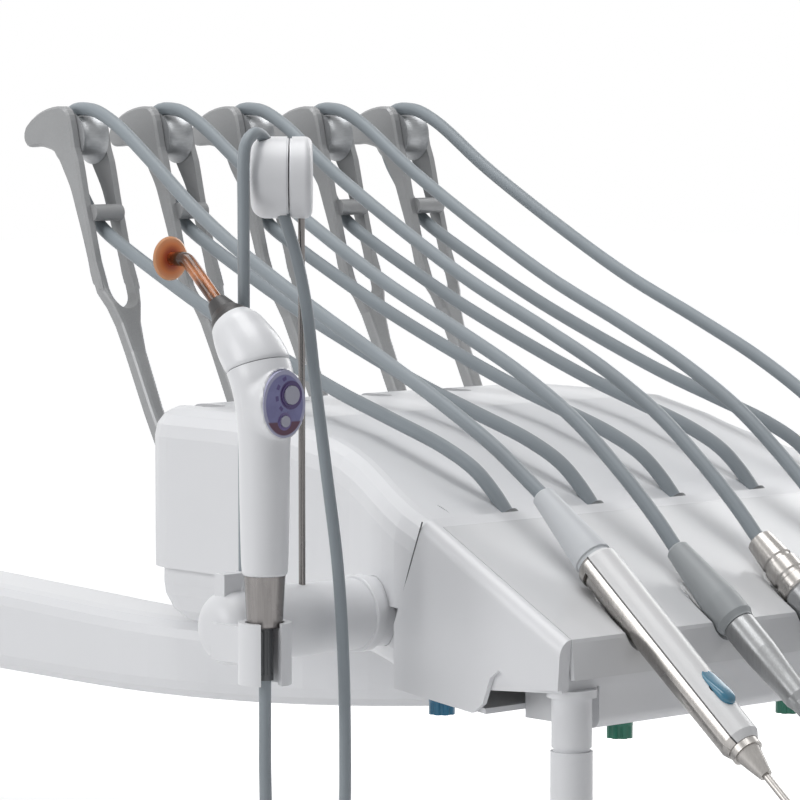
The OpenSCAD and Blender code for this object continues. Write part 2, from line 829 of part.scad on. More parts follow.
// Handle, drawn downwards from its collar
module side_handle() {
    color(white) translate([handle_at[0], handle_at[1], panel_low - bite]) rotate([180, 0, 0]) {
        rotate_extrude() {
            square([handle_r + handle_collar, 4]);
            square([handle_r, 30]);
            translate([0, 30]) square([handle_r - 1, 3]);
            translate([0, 32]) square([handle_r + 0.5, handle_len - 40]);
            translate([0, handle_len - 10]) intersection() {
                circle(handle_r + 0.5);
                square([30, 30]);
            }
        }
    }
}

// Instruments, drawn along their own axis from the middle of the tray
boot_end = -5;
module revolve(points) rotate_extrude() polygon(concat([[0, points[0][1]]], points, [[0, points[len(points) - 1][1]]]));

module syringe_boot() {
    color("gainsboro") at_tool(1) revolve([
        [5, -52], [6.2, -51], [8.2, -30], [tool_r - 1.6, -8], [tool_r - 1.4, -3], [9.6, -2.4], [9.6, -0.2]
    ]);
}

tool_split = 0.5;
module syringe_cover() {
    color(white) at_tool(1) difference() {
        revolve([[tool_r - 1.2, 0], [tool_r, 2], [tool_r, 60], [tool_r - 0.6, 132], [9, 136]]);
        translate([0, 0, -1]) cylinder(r = 8.6, h = 150);
        translate([-20, -tool_split - 40, 6]) cube([40, 40, 150]);
        translate([0, tool_r - 3, button_s]) rotate([90, 0, 0]) translate([0, 0, -10]) {
            cylinder(r = button_r + 0.2, h = 20);
        }
    }
}

module syringe_core() {
    color(steel) at_tool(1) {
        cylinder(r = 8.5, h = 140);
        intersection() {
            revolve([[tool_r - 1.8, 6.2], [tool_r - 0.8, 8], [tool_r - 0.8, 60], [tool_r - 1.4, 132], [9, 136]]);
            translate([-20, -tool_split - 40 - seat, 6.2]) cube([40, 40, 150]);
        }
        translate([0, 0, 140 - bite]) cylinder(r1 = 7, r2 = 3.4, h = 16);
        translate([0, 0, 155]) cylinder(r = 2, h = 22);
        translate([0, -22, 177 - bite]) rotate([90, 0, 90]) {
            rotate_extrude(angle = 50) translate([22, 0]) circle(2, $fn = 24);
        }
    }
}
button_s = 104;
button_r = 5;
button_travel = 1.5;
module syringe_button() {
    color("teal") at_tool(1) translate([0, 8.5 + button_travel + seat, button_s]) rotate([-90, 0, 0]) {
        cylinder(r = button_r, h = 3.4);
        translate([0, 0, 3.4]) scale([1, 1, 0.3]) intersection() {
            sphere(button_r, $fn = 32);
            translate([-10, -10, -bite]) cube([20, 20, 20]);
        }
    }
}

module turbine_boot() {
    color("darkgray") at_tool(2) revolve([
        [5, boot_end], [6.4, boot_end + 1.5], [8.6, 18], [slim_r - 0.2, 36], [slim_r, 50], [9.4, 53], [9.2, 54]
    ]);
}
module turbine_body() {
    color("gray") at_tool(2) {
        revolve([
            [8.8, 54.1], [9.2, 55], [9.0, 76], [7.6, 96], [7.2, 108], [6, 112], [4.6, 130], [4.4, 142]
        ]);
        translate([0, 0, 141]) rotate([30, 0, 0]) cylinder(r = 3.6, h = 14);
        translate([0, -8, 154]) rotate([90, 0, 0]) translate([0, 0, -7]) cylinder(r = 5.4, h = 13);
    }
}

module motor_coupling() {
    color("silver") at_tool(3) revolve([
        [5, boot_end], [7.6, boot_end + 1], [9, 12], [8.2, 13], [8.2, 15], [10, 16], [10, 24], [9.2, 25],
        [9.2, 27], [10.4, 28], [10.4, 34], [9.6, 35]
    ]);
}
module motor_body() {
    color("gainsboro") at_tool(3) {
        revolve([
            [9.6, 35.1], [slim_r, 37], [slim_r, 86], [9.2, 89], [8.4, 92], [7.4, 120], [5.4, 134], [4.8, 148]
        ]);
        translate([0, 0, 147]) rotate([20, 0, 0]) cylinder(r = 4, h = 16);
        translate([0, -6, 161]) rotate([90, 0, 0]) translate([0, 0, -7]) cylinder(r = 5.6, h = 14);
    }
}

module scaler_boot() {
    color("darkgray") at_tool(4) revolve([
        [5, boot_end], [6.4, boot_end + 1.5], [9, 16], [slim_r - 0.3, 30], [9.6, 33]
    ]);
}
module scaler_body() {
    color("whitesmoke") at_tool(4) {
        revolve([
            [9.8, 33.1], [slim_r, 35], [slim_r, 60], [9.4, 90], [8.6, 110], [6.4, 126], [4, 138], [2.4, 142]
        ]);
        translate([0, 0, 141]) cylinder(r1 = 1.8, r2 = 1, h = 14);
        translate([0, -14, 155 - bite]) rotate([90, 0, 90]) {
            rotate_extrude(angle = 60) translate([14, 0]) circle(0.9, $fn = 24);
        }
    }
}

module polisher_boot() {
    color("silver") at_tool(5) revolve([
        [5, boot_end], [7.6, boot_end + 1], [9, 12], [8.2, 13], [8.2, 15], [10, 16], [10, 30], [9.2, 31]
    ]);
}
module polisher_body() {
    color("gray") at_tool(5) {
        revolve([
            [9.2, 31.1], [slim_r, 33], [slim_r, 80], [8.8, 84], [8, 108], [6, 124], [5, 140]
        ]);
        translate([0, 0, 139]) rotate([30, 0, 0]) cylinder(r = 3.8, h = 14);
        translate([0, -8, 152]) rotate([90, 0, 0]) translate([0, 0, -7]) cylinder(r = 5.2, h = 13);
    }
}

// Hoses: gland, lower run, round the roller, and upper run to the instrument's boot
wrap_step = 24.4;
wrap_r = (waist_r + hose_d / 2 + seat) / cos(wrap_step / 2);
hose_low = [
    [13, -124, 95.5], [12, -110, 107], [11, -86, 118], [9, -45, 131], [7, -5, 143.5], [5, 45, 161.5],
    [3, 100, 183], [1, 149, 205], [0, 183, 221], [0, 200, 229], [0, 213, 236.5], [0, 224, 245.5],
    [0, 233, 257], [0, 239, 268]
];
hose_high_short = [
    [0, 217, 302.6], [0, 208, 301.2], [0, 189, 293.1], [0, 152, 269.3], [0, 118, 246], [0, 79, 223.5],
    [0, 20, 195], [0, -40, 168.5], [0, -100, 141.5], [0, -140, 121], [0, -160, 108.5]
];
hose_high_long = [
    [0, 217, 302.6], [0, 208, 301.2], [0, 189, 293.1], [0, 152, 270], [0, 132, 258.5], [0, 78, 230],
    [0, 20, 202], [0, -42, 177], [0, -91, 156], [0, -135, 132], [0, -170, 106], [0, -195, 84.5]
];
function wrap_points() = [
    for (a = [-20:wrap_step:80]) [0, roller_at[0] + wrap_r * cos(a), roller_at[1] + wrap_r * sin(a)]
];
function hose_route(i) =
    let (
        x = [arm_x(i), 0, 0],
        start = [hose_shift, gland_at[0], gland_at[1]] + gland_out * gland_dir(),
        s = i == 1 ? -52 : boot_end,
        finish = [0, along(s)[0] + tool_drop(i) * sin(rest_slope), along(s)[1] - tool_drop(i) * cos(rest_slope)]
    )
    [
        for (p = concat([start], hose_low, wrap_points(), i == 1 ? hose_high_short : hose_high_long, [finish]))
            x + p
    ];
module hose(i) {
    color(hose_grey) tube(
        hose_route(i), hose_d, 8, [1, 0, 0],
        gland_dir(), [0, -cos(rest_slope), -sin(rest_slope)]
    );
}

// Light holder: a fixed barrel on the housing's side and a knuckle that turns on its pin
holder_y = -95;
holder_z = 33;
barrel_inner = 150;
pin_r = 8;
pin_len = 34;
knuckle_r = barrel_r + 0.5;
collar_out = 1.8;
collar_w = 7;
module along_barrel(x) translate([-x, holder_y, holder_z]) rotate([0, -90, 0]) children();

module holder_barrel() {
    color(white) {
        along_barrel(barrel_inner + bite) cylinder(r = barrel_r, h = knuckle_x - barrel_inner - seat);
        along_barrel(front_half_w - 2) rotate_extrude() {
            square([barrel_r + collar_out - 1, collar_w]);
            translate([0, 1]) square([barrel_r + collar_out, collar_w - 2]);
            translate([barrel_r + collar_out - 1, 1]) circle(1);
            translate([barrel_r + collar_out - 1, collar_w - 1]) circle(1);
        }
        along_barrel(knuckle_x - 1) cylinder(r = pin_r, h = pin_len + 1);
    }
}

light_at = [-285, -131];
cup_low = 8;
rod_at = [-knuckle_x - 3.5, holder_y - 3];
gland2_at = [-268.5, -95];
module holder_knuckle() {
    r = 13;
    color(white) difference() {
        union() {
            along_barrel(knuckle_x) rotate_extrude() {
                square([knuckle_r, knuckle_len - r]);
                square([knuckle_r - r, knuckle_len]);
                translate([knuckle_r - r, knuckle_len - r]) intersection() {
                    circle(r);
                    square(r);
                }
            }
            translate([light_at[0] - 8, light_at[1] + 4, holder_z - 15]) {
                cube([16, holder_y - light_at[1] - 6, cup_low + cup_h - holder_z + 12]);
            }
            translate([light_at[0] - 0.5, holder_y - 4, holder_z + 10]) cube([12.5, 8, 18.5]);
            translate([gland2_at[0], gland2_at[1], holder_z + 10]) cylinder(r1 = 9, r2 = cord_d / 2 + 1.6, h = gland2_top - holder_z - 10);
        }
        along_barrel(knuckle_x - 1) cylinder(r = pin_r + run, h = pin_len + 1.5);
        translate([rod_at[0], rod_at[1], rod_low]) cylinder(r = rod_r + run, h = 60);
        translate([light_at[0], light_at[1], 0]) cylinder(r = cup_r + bite, h = 80);
    }
}
gland2_top = 62;

cup_in = 10.2;
ledge_w = 2.4;
ledge_deep = 3;
module holder_cup() {
    color(white) translate([light_at[0], light_at[1], cup_low]) difference() {
        cylinder(r = cup_r, h = cup_h);
        translate([0, 0, -1]) cylinder(r = cup_in - ledge_w, h = cup_h + 2);
        translate([0, 0, cup_h - ledge_deep]) cylinder(r = cup_in, h = cup_h);
        rotate([0, 0, 155]) translate([-cup_slot / 2, 0, -1]) cube([cup_slot, 40, cup_h + 2]);
    }
}

guide_z = holder_z + rod_h + 2;
rod_low = holder_z + pin_r + 2;
module guide_rod() {
    color(steel) translate([rod_at[0], rod_at[1], rod_low + bite]) {
        cylinder(r = rod_r, h = guide_z - 9 - rod_low);
    }
}

// Cord guide: two halves of a puck whose axis lies across the photograph's view
guide_turn = 42;
guide_thin = 11.5;
guide_thick = 20;
guide_seam = 0.7;
module puck_half(thick, r, edge) {
    rotate_extrude() {
        square([r - edge, thick]);
        translate([0, 1]) square([r, thick - edge - 1]);
        square([r - 1, 2]);
        translate([r - edge, thick - edge]) circle(edge);
    }
}
module cord_guide() {
    color(white) translate([rod_at[0], rod_at[1], guide_z]) rotate([0, 0, -guide_turn]) difference() {
        union() {
            translate([-guide_thin / 2, 0, 0]) rotate([0, 90, 0]) puck_half(guide_thin, guide_r, 4);
            translate([-guide_thin / 2 - guide_seam, 0, 0]) rotate([0, -90, 0]) puck_half(guide_thick, guide_r, 8);
            translate([-guide_thin / 2 - guide_seam - 1, 0, 0]) rotate([0, 90, 0]) cylinder(r = 8, h = guide_seam + 2);
        }
        translate([0, 0, -60]) cylinder(r = rod_r + run, h = 52);
        rotate([0, 0, guide_turn]) translate([-rod_at[0], -rod_at[1], -guide_z]) {
            tube(concat([cord_up[8], cord_up[9]], cord_in_guide), cord_d + 1.2, 8, [0, 1, 0]);
        }
    }
}

// Curing light: boot, ferrule, handle, bent head, nose, keypad and keys
boot_low = 10;
boot_r = 4.4;
handle_low = 64;
bend_turn = 49;
bend_z = handle_low + light_h;
ferrule_low = cup_low + cup_h - ledge_deep + seat;
module at_light() translate([light_at[0], light_at[1], 0]) children();

// The plane where the nose begins
nose_at = [25.4, bend_z + 42.5];
module at_bend() translate([0, nose_at[0], nose_at[1]]) rotate([-bend_turn, 0, 0]) children();

// Ribbed strain relief in the cup's slot
module light_boot() {
    color("dimgray") at_light() difference() {
        translate([0, 0, boot_low]) cylinder(r = boot_r, h = ferrule_low - boot_low - bite);
        for (a = [0:36:359]) rotate([0, 0, a]) translate([boot_r + 0.5, 0, boot_low + 3]) {
            cylinder(r = 1, h = ferrule_low - boot_low - 5);
        }
    }
}
module light_ferrule() {
    low = light_r - 5.2;
    color(steel) at_light() rotate_extrude() polygon([
        [0, ferrule_low], [low, ferrule_low], [low + 0.8, ferrule_low + 0.8], [low + 1, ferrule_low + 2.4],
        [light_r - 3, handle_low - 3], [light_r - 2.8, handle_low - bite], [0, handle_low - bite]
    ]);
}

// Sections of the handle and the head: place, lean and how much thicker than the handle they are
handle_sections = [
    [[0, handle_low], 0, -3.3], [[0, handle_low + 0.8], 0, -2.2], [[0, handle_low + 3], 0, -1.8],
    [[0, handle_low + 34], 0, -0.8], [[0, bend_z - 15], 0, 0], [[0, bend_z], 0, 1.3],
    [[0.5, bend_z + 9], 6, 2.5], [[2, bend_z + 15.5], 13, 3.1], [[4.6, bend_z + 21], 20, 3.1]
];
head_gap = 0.35;
head_sections = [
    [[4.7, bend_z + 21 + head_gap], 20, 2.6], [[5.1, bend_z + 22.3], 21, 3.2],
    [[10.9, bend_z + 29.2], 33, 3.1], [[16.6, bend_z + 34.6], 43, 1.9], [[21.5, bend_z + 39.4], 48, 0.4],
    [nose_at, bend_turn, -1.6]
];
function light_ring(s) =
    let (r = light_r + s[2])
    [
        for (a = [0:15:345])
            [r * cos(a), s[0][0] + r * sin(a) * cos(s[1]), s[0][1] - r * sin(a) * sin(s[1])]
    ];

// A boss flares out of the handle's front and carries the keypad
keypad_z = bend_z + 3;
keypad_half = [14, 17.2];
keypad_out = 16;
keypad_t = 3.2;
boss_sections = [[1, 12, 19.5, -1.5], [7, 12.6, 20, -1], [12, 14.2, 18.6, -0.2], [15, 14.9, 18.1, 0], [15.7, 14.5, 17.7, 0]];
function boss_ring(s) = [
    for (a = [0:12:359]) [s[1] * cos(a), -s[0], keypad_z + s[3] + s[2] * sin(a)]
];
module light_handle() {
    color(white) at_light() difference() {
        union() {
            skin([for (s = handle_sections) light_ring(s)]);
            skin([for (s = boss_sections) boss_ring(s)]);
        }
        keypad_solid(0.02);
    }
}
module light_head() color(white) at_light() skin([for (s = head_sections) light_ring(s)]);

nose_len = 16;
module light_nose() {
    color("dimgray") at_light() at_bend() rotate_extrude() polygon([
        [0, bite], [light_r - 1.9, bite], [light_r - 3.2, 3.5], [light_r - 5.8, 8],
        [guide_rod_r + 1.6, nose_len], [guide_rod_r + run, nose_len], [guide_rod_r + run, 2], [0, 2]
    ]);
}

// Keypad: an oval plate let into the boss, with a raised ring round each key
module keypad_solid(gap) {
    translate([0, 0, keypad_z]) rotate([90, 0, 0]) translate([0, 0, keypad_out - keypad_t - gap]) {
        linear_extrude(keypad_t + gap) polygon([
            for (a = [0:8:359]) [(keypad_half[0] + gap) * cos(a), (keypad_half[1] + gap) * sin(a)]
        ]);
    }
}
key_r = [4.8, 2.9];
key_at = [[4.4, keypad_z + 4.5], [0, keypad_z - 8.8]];
key_sink = 0.5;
key_bezel = [1.6, 1];
module at_key(k) translate([key_at[k][0], 0, key_at[k][1]]) rotate([90, 0, 0]) children();
module light_keypad() {
    color("slateblue") at_light() difference() {
        union() {
            keypad_solid(0);
            for (k = [0, 1]) at_key(k) translate([0, 0, keypad_out - 1]) {
                cylinder(r = key_r[k] + key_bezel[k], h = 1.4);
            }
        }
        for (k = [0, 1]) at_key(k) translate([0, 0, keypad_out - keypad_t + key_sink]) {
            cylinder(r = key_r[k] + 0.15, h = 20);
        }
    }
}
module light_key(k) {
    color("lavender") at_light() at_key(k) {
        translate([0, 0, keypad_out - keypad_t + key_sink + key_travel + 0.1]) cylinder(r = key_r[k], h = 3.2);
    }
}

// Light guide: a rod that bends back level behind the nose and ends in the shield
rod_straight = 46;
tip_turn = 90 - bend_turn;
tip_r = 8;
tip_len = 13;
shield_at = 9;
module at_tip() {
    at_light() at_bend() translate([0, tip_r, rod_straight]) rotate([-tip_turn, 0, 0]) {
        translate([0, -tip_r, 0]) children();
    }
}
module light_guide() {
    color("chocolate") {
        at_light() at_bend() translate([0, 0, 2 + bite]) cylinder(r = guide_rod_r, h = rod_straight - 2);
        at_light() at_bend() translate([0, tip_r, rod_straight]) rotate([90, 0, 90]) {
            rotate([0, 0, 180 - tip_turn]) rotate_extrude(angle = tip_turn) {
                translate([tip_r, 0]) circle(guide_rod_r - run);
            }
        }
        at_tip() translate([0, 0, -bite]) cylinder(r = guide_rod_r, h = tip_len);
    }
}
module light_shield() {
    color("coral") at_tip() difference() {
        translate([0, 0, shield_at]) rotate_extrude() polygon([
            [guide_rod_r + run, 0], [shield_r - 1, 1.2], [shield_r, 2], [shield_r - 1, 2.8], [guide_rod_r + run, 2.2]
        ]);
    }
}

// The light's cord: up from the knuckle, over into the guide, down, and round to the ferrule
cord_up = [
    [-268.5, -95, 62], [-268.5, -95, 74], [-268.5, -95, 110], [-268.5, -95, 160], [-268.5, -95, 210],
    [-268.5, -95, 250], [-268.5, -95, 275], [-266.8, -94.5, 284], [-262.3, -93, 288.6], [-256.2, -91, 290.4]
];
cord_in_guide = [
    [-250.1, -88.8, 288.6], [-245.6, -87.4, 283.9], [-243.9, -87.2, 277], [-243.4, -90.4, 262],
    [-241.4, -97, 244], [-239, -103, 225]
];
cord_down = [
    [-236.8, -108, 200], [-235, -113, 160], [-232, -118, 115], [-228, -122.5, 65], [-226, -124.5, 20],
    [-225, -125, -30], [-227, -126, -75], [-234, -127.5, -104], [-247, -129, -119], [-262, -130.5, -118],
    [-276, -131, -103], [-283, -131, -75], [-285, -131, -40], [-285, -131, -15], [-285, -131, 10]
];
module light_cord() {
    color(hose_grey) tube(concat(cord_up, cord_in_guide, cord_down), cord_d, 8, [0, 1, 0], [0, 0, 1], [0, 0, 1]);
}

in_head() support_arm();
in_head() swivel_post();
in_head() arm_caps();
in_head() lower_shell();
in_head() upper_cover();
in_head() tray_shell();
in_head() tray_mat();
in_head() front_panel();
in_head() arm_chassis();
in_head() swivel_bush();
in_head() arm_shaft();
in_head() return_springs();
in_head() hose_glands();
in_head() holder_barrel();
in_head() side_handle();
for (i = [1:5]) {
    in_head() whip_arm(i);
    in_head() roller(i);
    in_head() hose(i);
}
union() {  // flow_knob_blue
    in_head() translate([blue_knob[0], blue_knob[1], 0]) knob("steelblue", belly(blue_knob[1] - 2));
}
for (k = [0, 1]) {
    union() {
        in_head() translate([green_knobs[k][0], green_knobs[k][1], 0]) knob("seagreen", panel_bottom);
    }
}
in_head() syringe_boot();
in_head() syringe_cover();
in_head() syringe_core();
in_head() syringe_button();
in_head() turbine_boot();
in_head() turbine_body();
in_head() motor_coupling();
in_head() motor_body();
in_head() scaler_boot();
in_head() scaler_body();
in_head() polisher_boot();
in_head() polisher_body();
in_head() holder_knuckle();
in_head() holder_cup();
in_head() guide_rod();
in_head() cord_guide();
in_head() light_boot();
in_head() light_ferrule();
in_head() light_handle();
in_head() light_head();
in_head() light_nose();
in_head() light_keypad();
in_head() light_key(0);  // light_key_large
in_head() light_key(1);  // light_key_small
in_head() light_guide();
in_head() light_shield();
in_head() light_cord();
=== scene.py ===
"""Dental delivery head: five whip arms with hoses over a sloping instrument tray, and a curing light."""

import math

import bpy
import numpy as np
from mathutils import Matrix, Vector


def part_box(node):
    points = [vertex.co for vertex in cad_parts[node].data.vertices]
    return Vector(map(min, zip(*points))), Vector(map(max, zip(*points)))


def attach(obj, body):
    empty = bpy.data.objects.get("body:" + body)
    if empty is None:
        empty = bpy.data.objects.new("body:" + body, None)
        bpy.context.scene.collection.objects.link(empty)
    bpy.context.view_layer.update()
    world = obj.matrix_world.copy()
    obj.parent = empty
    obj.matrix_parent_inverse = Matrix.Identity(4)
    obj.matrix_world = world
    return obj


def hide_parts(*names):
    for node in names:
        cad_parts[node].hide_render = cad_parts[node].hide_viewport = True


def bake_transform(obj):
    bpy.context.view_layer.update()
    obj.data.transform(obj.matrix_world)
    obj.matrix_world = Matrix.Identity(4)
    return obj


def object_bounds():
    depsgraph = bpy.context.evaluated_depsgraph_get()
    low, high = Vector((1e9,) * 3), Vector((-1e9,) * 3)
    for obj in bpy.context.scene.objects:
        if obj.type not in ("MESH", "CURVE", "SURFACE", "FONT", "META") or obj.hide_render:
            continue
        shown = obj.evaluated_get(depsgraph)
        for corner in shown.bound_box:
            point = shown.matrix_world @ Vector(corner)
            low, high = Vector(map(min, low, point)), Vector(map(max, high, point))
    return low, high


bl_info = {
    "name": "Dental delivery head",
    "version": (1, 0, 0),
    "blender": (4, 5, 0),
    "location": "3D View > Sidebar > Delivery head",
    "description": "Dresses the packed delivery head with its hoses, castings, shells and finishes",
    "category": "Object",
}

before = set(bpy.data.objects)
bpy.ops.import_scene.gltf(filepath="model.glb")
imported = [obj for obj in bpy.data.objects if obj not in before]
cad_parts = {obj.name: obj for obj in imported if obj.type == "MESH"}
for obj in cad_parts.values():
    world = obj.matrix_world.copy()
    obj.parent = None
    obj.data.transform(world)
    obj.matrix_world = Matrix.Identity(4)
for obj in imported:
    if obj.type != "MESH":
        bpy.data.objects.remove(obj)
CAD_BOX = [list(corner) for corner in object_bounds()]

# The head's swivel in the frame, in metres; every shape below is drawn from it in millimetres
HEAD = np.array([0.117, -0.520, 0.052])
MM = 0.001

# Whip arms from left to right, with the instrument that hangs over each
ARM_X = [-130.0, -65.0, 0.0, 65.0, 130.0]

# Axle of a hose roller in (Y, Z), the radius of its waist and the air between hose and waist
ROLLER = np.array([224.5, 285.5])
ROLLER_WAIST = 12.6
ROLLER_AIR = 0.3

# Slope of the instruments at rest, a point (Y, Z) of the syringe's axis over the tray, and the
# depth of each instrument's axis below the syringe's
REST_SLOPE = math.radians(38.66)
REST = np.array([-216.0, 66.0])
TOOL_DROP = [0.0, 1.2, 1.2, 1.2, 1.2]
TOOL_AXIS = np.array([0, -math.cos(REST_SLOPE), -math.sin(REST_SLOPE)])
TOOL_UP = np.array([0, -math.sin(REST_SLOPE), math.cos(REST_SLOPE)])

# The curing light's upright axis in (X, Y), the height of its keypad's middle, and the keys' (X, Z)
LIGHT = np.array([-285.0, -131.0])
KEYPAD_Z = 153.0
LARGE_KEY = (4.4, 157.5)
SMALL_KEY = (0.0, 144.2)


def in_frame(points):
    """Head millimetres to frame metres."""
    return np.asarray(points, float) * MM + HEAD


# Surfaces


def unit(v):
    """v over its length, row by row."""
    v = np.asarray(v, float)
    return v / np.linalg.norm(v, axis=-1, keepdims=True)


def circle_angles(sides):
    """The angles of a circle's points, in radians."""
    return np.linspace(0, 2 * math.pi, sides, endpoint=False)


def smooth_step(t):
    """3 t^2 - 2 t^3, which leaves 0 and reaches 1 level."""
    return t * t * (3 - 2 * t)


def spline(points, step):
    """Centripetal Catmull-Rom curve through points, resampled every step along its length."""
    p = np.asarray(points, float)
    p = np.vstack([2 * p[0] - p[1], p, 2 * p[-1] - p[-2]])
    a, b, c, d = p[:-3], p[1:-2], p[2:-1], p[3:]
    t1 = np.sqrt(np.linalg.norm(b - a, axis=1))[:, None, None] + 1e-9
    t2 = t1 + np.sqrt(np.linalg.norm(c - b, axis=1))[:, None, None] + 1e-9
    t3 = t2 + np.sqrt(np.linalg.norm(d - c, axis=1))[:, None, None] + 1e-9
    t = t1 + (t2 - t1) * np.linspace(0, 1, 17)[None, :-1, None]
    a, b, c, d = (q[:, None, :] for q in (a, b, c, d))
    a1 = (t1 - t) / t1 * a + t / t1 * b
    a2 = (t2 - t) / (t2 - t1) * b + (t - t1) / (t2 - t1) * c
    a3 = (t3 - t) / (t3 - t2) * c + (t - t2) / (t3 - t2) * d
    b1 = (t2 - t) / t2 * a1 + t / t2 * a2
    b2 = (t3 - t) / (t3 - t1) * a2 + (t - t1) / (t3 - t1) * a3
    dense = ((t2 - t) / (t2 - t1) * b1 + (t - t1) / (t2 - t1) * b2).reshape(-1, p.shape[1])
    dense = np.vstack([dense, p[-2]])
    s = np.concatenate([[0], np.cumsum(np.linalg.norm(np.diff(dense, axis=0), axis=1))])
    at = np.linspace(0, s[-1], max(3, int(round(s[-1] / step)) + 1))
    return np.stack([np.interp(at, s, dense[:, k]) for k in range(p.shape[1])], 1)


def make_piece(name, verts, faces, uvs, material, sharp):
    """A mesh object from head millimetres, faces of any size and a UV pair for each face corner.

    It is shaded smooth, apart from edges over the sharp angle in degrees."""
    mesh = bpy.data.meshes.new(name)
    mesh.from_pydata(in_frame(verts).tolist(), [], faces)
    layer = mesh.uv_layers.new(name="Skin")
    layer.data.foreach_set("uv", np.asarray(uvs, np.float32).ravel())
    mesh.shade_smooth()
    mesh.set_sharp_from_angle(angle=math.radians(sharp))
    mesh.materials.append(material)
    piece = bpy.data.objects.new(name, mesh)
    bpy.context.scene.collection.objects.link(piece)
    return piece


def ring_faces(k, n, base):
    """Quads between k closed rings of n points each, and their corners' UVs (round, ring number)."""
    i, j = np.meshgrid(np.arange(k - 1), np.arange(n), indexing="ij")
    nxt = (j + 1) % n
    quads = np.stack([i * n + j, i * n + nxt, (i + 1) * n + nxt, (i + 1) * n + j], -1) + base
    corners = [(j, i), (j + 1, i), (j + 1, i + 1), (j, i + 1)]
    uv = np.stack([np.stack([across / n, along], -1) for across, along in corners], 2)
    return quads.reshape(-1, 4), uv.reshape(-1, 2).astype(float)


def skin_parts(rings, base):
    """Vertices, faces and UVs of rings that run counter-clockwise seen from the last one's side.

    The first and last ring are closed by fans round their middles."""
    rings = np.asarray(rings, float)
    k, n, _ = rings.shape
    gaps = np.linalg.norm(np.diff(rings.mean(1), axis=0), axis=1)
    along = np.concatenate([[0], np.cumsum(gaps)]) * MM
    quads, uv = ring_faces(k, n, base)
    uv[:, 1] = along[uv[:, 1].astype(int)]
    verts, faces, uvs = [rings.reshape(-1, 3)], quads.tolist(), [uv]
    j = np.arange(n)
    for row, middle in ((0, k * n), (k - 1, k * n + 1)):
        verts.append(rings[row].mean(0)[None])
        a, b = row * n + j, row * n + (j + 1) % n
        fan = [np.full(n, middle), b, a] if row == 0 else [np.full(n, middle), a, b]
        faces += (np.stack(fan, -1) + base).tolist()
        uvs.append(np.tile([[0.5, along[row]]], (3 * n, 1)))
    return np.vstack(verts), faces, np.vstack(uvs)


def skins(name, ring_sets, material, sharp=38.0):
    """One piece from one or more closed skins."""
    verts, faces, uvs, base = [], [], [], 0
    for rings in ring_sets:
        v, f, u = skin_parts(rings, base)
        verts.append(v)
        faces += f
        uvs.append(u)
        base += len(v)
    return make_piece(name, np.vstack(verts), faces, np.vstack(uvs), material, sharp)


def tube_rings(path, radius, sides, reference):
    """A circle of the radius carried along path.

    Its first side leans to the reference direction, made square to the path."""
    path = np.asarray(path, float)
    t = unit(np.gradient(path, axis=0))
    ref = np.asarray(reference, float)
    u = unit(ref - t * (t @ ref)[:, None])
    v = np.cross(t, u)
    a = circle_angles(sides)[None, :, None]
    return path[:, None] + radius * (u[:, None] * np.cos(a) + v[:, None] * np.sin(a))


def bar_rings(outline, xs):
    """A closed (Y, Z) outline, counter-clockwise seen from +X, carried along X."""
    y, z = np.asarray(outline, float).T
    x = np.asarray(xs, float)[:, None]
    return np.stack([x + 0 * y, 0 * x + y, 0 * x + z], -1)


# Finishes


